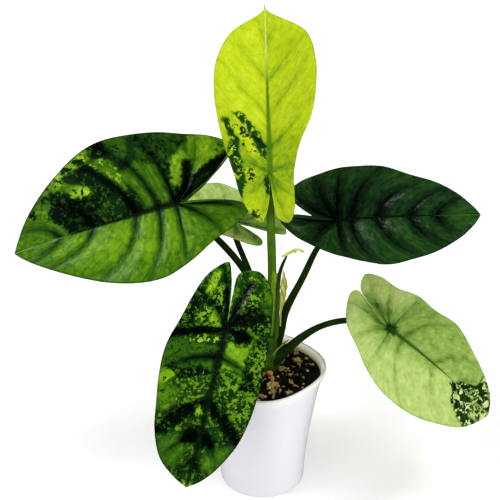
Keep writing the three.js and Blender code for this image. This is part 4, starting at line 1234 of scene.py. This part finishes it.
# %% The spent sheaths
for name, node, path, radius_at, finish in [
    (
        "spent_sheath_horn_skin", "spent_sheath_horn",
        [
            (12, -4, 160), (12.8, -4.6, 190), (13, -4.6, 213), (14.4, -4, 228),
            (17.4, -3.6, 238.5), (20.6, -3.6, 246),
        ],
        horn_radius,
        spent_finish("withered_sheath_dark_green", "Y", [
            (0, "#3f6a08"), (0.5, "#3c6408"), (0.72, "#2a4a08"), (0.9, "#1c3505"), (1, "#3d5212"),
        ], 0.45),
    ),
    (
        "spent_sheath_horn_shrivelled_tip", "spent_sheath_horn",
        [(15.7, -3.2, 244.6), (21.6, -3.6, 247.8), (26.7, -4, 250.9), (30.4, -4.4, 252.3), (35.9, -5, 250)],
        horn_tip_radius,
        spent_finish("shrivelled_tip_pale_straw", "Y", [
            (0, "#d8dc8e"), (0.35, "#c3ce6c"), (0.55, "#b4c25c"), (0.8, "#ccd284"), (1, "#9c9a50"),
        ]),
    ),
    (
        "dry_sheath_strip", "spent_sheath_dry",
        [(15.9, 2.8, 168), (16.4, 4.4, 186), (18.2, 4.8, 202), (18.8, 5, 214), (18, 5, 226)],
        strip_radius,
        spent_finish("dry_papery_sheath_straw", "X", [
            (0, "#9a8f22"), (0.3, "#dfe09a"), (0.6, "#f0f0bc"), (0.7, "#dcda74"), (0.84, "#b0a82e"),
            (1, "#94861e"),
        ]),
    ),
]:
    hand_over(skin(name, path, radius_at), "spent_sheath", node, finish)

# %% [markdown]
# ## The potting mix
# Aroids are grown in a coarse, airy mix: dark composted bark fines, with larger bark chips and pale pumice
# grains on top. The bed is a grid wrapped from the middle of the pot's floor out, up the wall and back to the
# middle of the top, where it heaps a little round the stem.

# %% The bed of mix
TOP_ROWS = 46
TOP_EDGE = 0.985
WALL_GAP = 2.2


def soil_height(x, y):
    heap = 2 * np.exp(-(((x - NECK_AXIS) ** 2 + (y - NECK_AXIS) ** 2) / 900))
    return 119.6 + heap + 0.7 * np.sin(x * 0.33 + 1.1) * np.cos(y * 0.29) + 0.5 * np.sin(x * 0.71 - y * 0.64)


def build_bed():
    floor_and_wall = [(3.2, 0), (3.2, 0.97), (4, 1)] + [(z, 1) for z in [*WALL_LEVELS, 118.6]]
    top = [(119, share) for share in np.linspace(TOP_EDGE, 0, TOP_ROWS)]
    walk = np.array(floor_and_wall + top)

    def place(round_share, along_share):
        angle = 2 * math.pi * round_share
        step = np.rint(along_share * (len(walk) - 1)).astype(int)
        z, share = walk[step].T
        r = (wall_radius(z) - WALL_GAP) * share
        points = pull_in(np.column_stack([r * np.cos(angle), r * np.sin(angle), z]))
        rough = 1.1 * np.array([noise.noise(Vector((x, y, 3)) / 2.6) for x, y, z in points])
        height = soil_height(points[:, 0], points[:, 1]) + rough * np.clip((TOP_EDGE - share) * 30, 0, 1)
        points[:, 2] = np.where(step >= len(floor_and_wall), height, points[:, 2])
        return points

    return closed_skin("bed_of_mix", 150, len(walk) - 1, place, degrees=70)


bed = build_bed()

# %% [markdown]
# A bark chip is modelled once: a cube, subdivided and knocked out of shape. A pumice grain is a small
# icosphere, dented all over. Each is then copied over the top of the bed, seeded, so that every run lays the
# same mix. The copies have few faces, because there are hundreds of them.

# %% One chip and one grain
def knock(piece, amount, scale, seed):
    # Without a seed of its own, noise_vector starts from the clock and differs from run to run.
    noise.seed_set(seed)
    points = points_of(piece)
    shift = [noise.noise_vector(Vector(p) / scale + Vector((seed, 0, 0))) for p in points]
    place_points(piece, points + np.array(shift) * amount)


def one_bark_chip(name="bark_chip"):
    chip = add_piece(name, bpy.ops.mesh.primitive_cube_add, size=2 * MM)
    bpy.ops.object.mode_set(mode="EDIT")
    bpy.ops.mesh.select_all(action="SELECT")
    bpy.ops.mesh.subdivide(number_cuts=2, smoothness=0.5)
    bpy.ops.transform.resize(value=(1.0, 0.62, 0.3))
    bpy.ops.object.mode_set(mode="OBJECT")
    knock(chip, 0.35, 0.8, 11)
    smooth(chip, 30)
    return chip


def one_pumice_grain():
    grain = add_piece("pumice_grain", bpy.ops.mesh.primitive_ico_sphere_add, subdivisions=2, radius=1 * MM)
    knock(grain, 0.4, 0.9, 5)
    place_points(grain, points_of(grain) * np.array([1.15, 0.8, 0.62]))
    smooth(grain, 40)
    return grain


# %% Strew them over the bed
GOLDEN_ANGLE = 2.39996
REACH = 0.97
BARE_RADIUS = 12


def lay(piece, place, turns, stretch):
    """Stretches a piece, turns it by the last of its turns first, and lays it at its place in mm."""
    turn = Matrix.Identity(4)
    for axis, angle in turns:
        turn = turn @ Matrix.Rotation(angle, 4, axis)
    piece.data.transform(Matrix.Translation(Vector(place) * MM) @ turn @ Matrix.Diagonal((*stretch, 1)))


def strew(model, name, count, sizes, seed, sink, tilt):
    """Copies a small piece over the mix, apart from a bare ring round the neck, and joins the copies."""
    draw = random.Random(seed)
    edge = wall_radius(119) - 3.4 - sizes[1]
    copies = []
    for i in range(count):
        r = math.sqrt((i + 0.5) / count) * REACH * edge
        angle = i * GOLDEN_ANGLE + draw.uniform(-0.6, 0.6)
        x, y, _ = pull_in(np.array([[r * math.cos(angle), r * math.sin(angle), 119]]))[0]
        size = draw.uniform(*sizes)
        turns = [("Z", draw.uniform(0, 6.28))] + [(axis, draw.uniform(-tilt, tilt)) for axis in "XY"]
        if math.hypot(x - NECK_AXIS, y - NECK_AXIS) < BARE_RADIUS + 0.5 * size:
            continue
        copy = model.copy()
        copy.data = model.data.copy()
        bpy.context.collection.objects.link(copy)
        stretch = size * draw.uniform(0.8, 1.25), size * draw.uniform(0.8, 1.1), size
        lay(copy, (x, y, soil_height(x, y) + sink * size), turns, stretch)
        copies.append(copy)
    pick(copies[0])
    for copy in copies:
        copy.select_set(True)
    bpy.ops.object.join()
    heap = bpy.context.object
    heap.name = heap.data.name = name
    pick(model)
    bpy.ops.object.delete()
    return heap


dark_chips = strew(one_bark_chip(), "dark_bark_chips", 330, (1.6, 4.2), 3, 0.15, 0.7)
tan_chips = strew(one_bark_chip(), "tan_bark_chips", 60, (1.8, 3.6), 8, 0.45, 0.6)
pumice = strew(one_pumice_grain(), "pumice_grains", 130, (1.3, 2.6), 21, 0.35, 0.5)
husk = one_bark_chip("coir_husk_chip")
husk_turns = [("Z", math.radians(65)), ("Y", math.radians(62)), ("X", math.radians(10))]
lay(husk, (7.2, -12.5, 123.2), husk_turns, (5.2, 3.6, 4.0))

# %% [markdown]
# Bark is fibrous: dark brown and nearly black when damp, with orange brown where it broke. One loose chip of
# coconut husk lies by the neck. Pumice is a foamed glass, cream to grey, full of tiny pores, and quite matt.

# %% The mix's finishes
def bark_finish(name, *colours, grain=300, at=(0.3, 0.5, 0.65, 0.8)):
    material, shader, add = new_finish(name, Roughness=0.8, IOR=1.5)
    fibres = {"Vector": add("TexCoord", out="Object"), "Scale": grain, "Detail": 5, "Roughness": 0.65}
    clouds = add("TexNoise", fibres)
    feed(shader, {
        "Base Color": add("ValToRGB", [clouds], chart=list(zip(at, colours))),
        "Normal": add("Bump", {"Height": clouds, "Strength": 0.8, "Distance": 0.0008}),
    })
    return material


# The fines are near black: partly damp bark, and partly painted shade in the gaps between the chips.
damp_fines_and_gap_shade = bark_finish(
    "damp_bark_fines_and_painted_shade", "#060301", "#0c0703", "#181008", "#342516", grain=420, at=(0.3, 0.5, 0.62, 0.75)
)
for piece, finish in [
    (bed, damp_fines_and_gap_shade),
    (dark_chips, bark_finish("damp_bark_dark_brown", "#070402", "#100a05", "#24180c", "#4a351e")),
    (tan_chips, bark_finish("broken_bark_tan", "#5a4820", "#a08a50", "#c8b27a", "#e0cea0")),
    (pumice, bark_finish("pumice_cream_grey", "#5c5434", "#a09a6c", "#c2bc92", "#dad6b8", grain=500)),
    (husk, bark_finish("coconut_husk_orange_brown", "#7c4a24", "#b07844", "#cf9c68", "#e0b98c")),
]:
    hand_over(piece, "potting_mix", "potting_mix", finish)
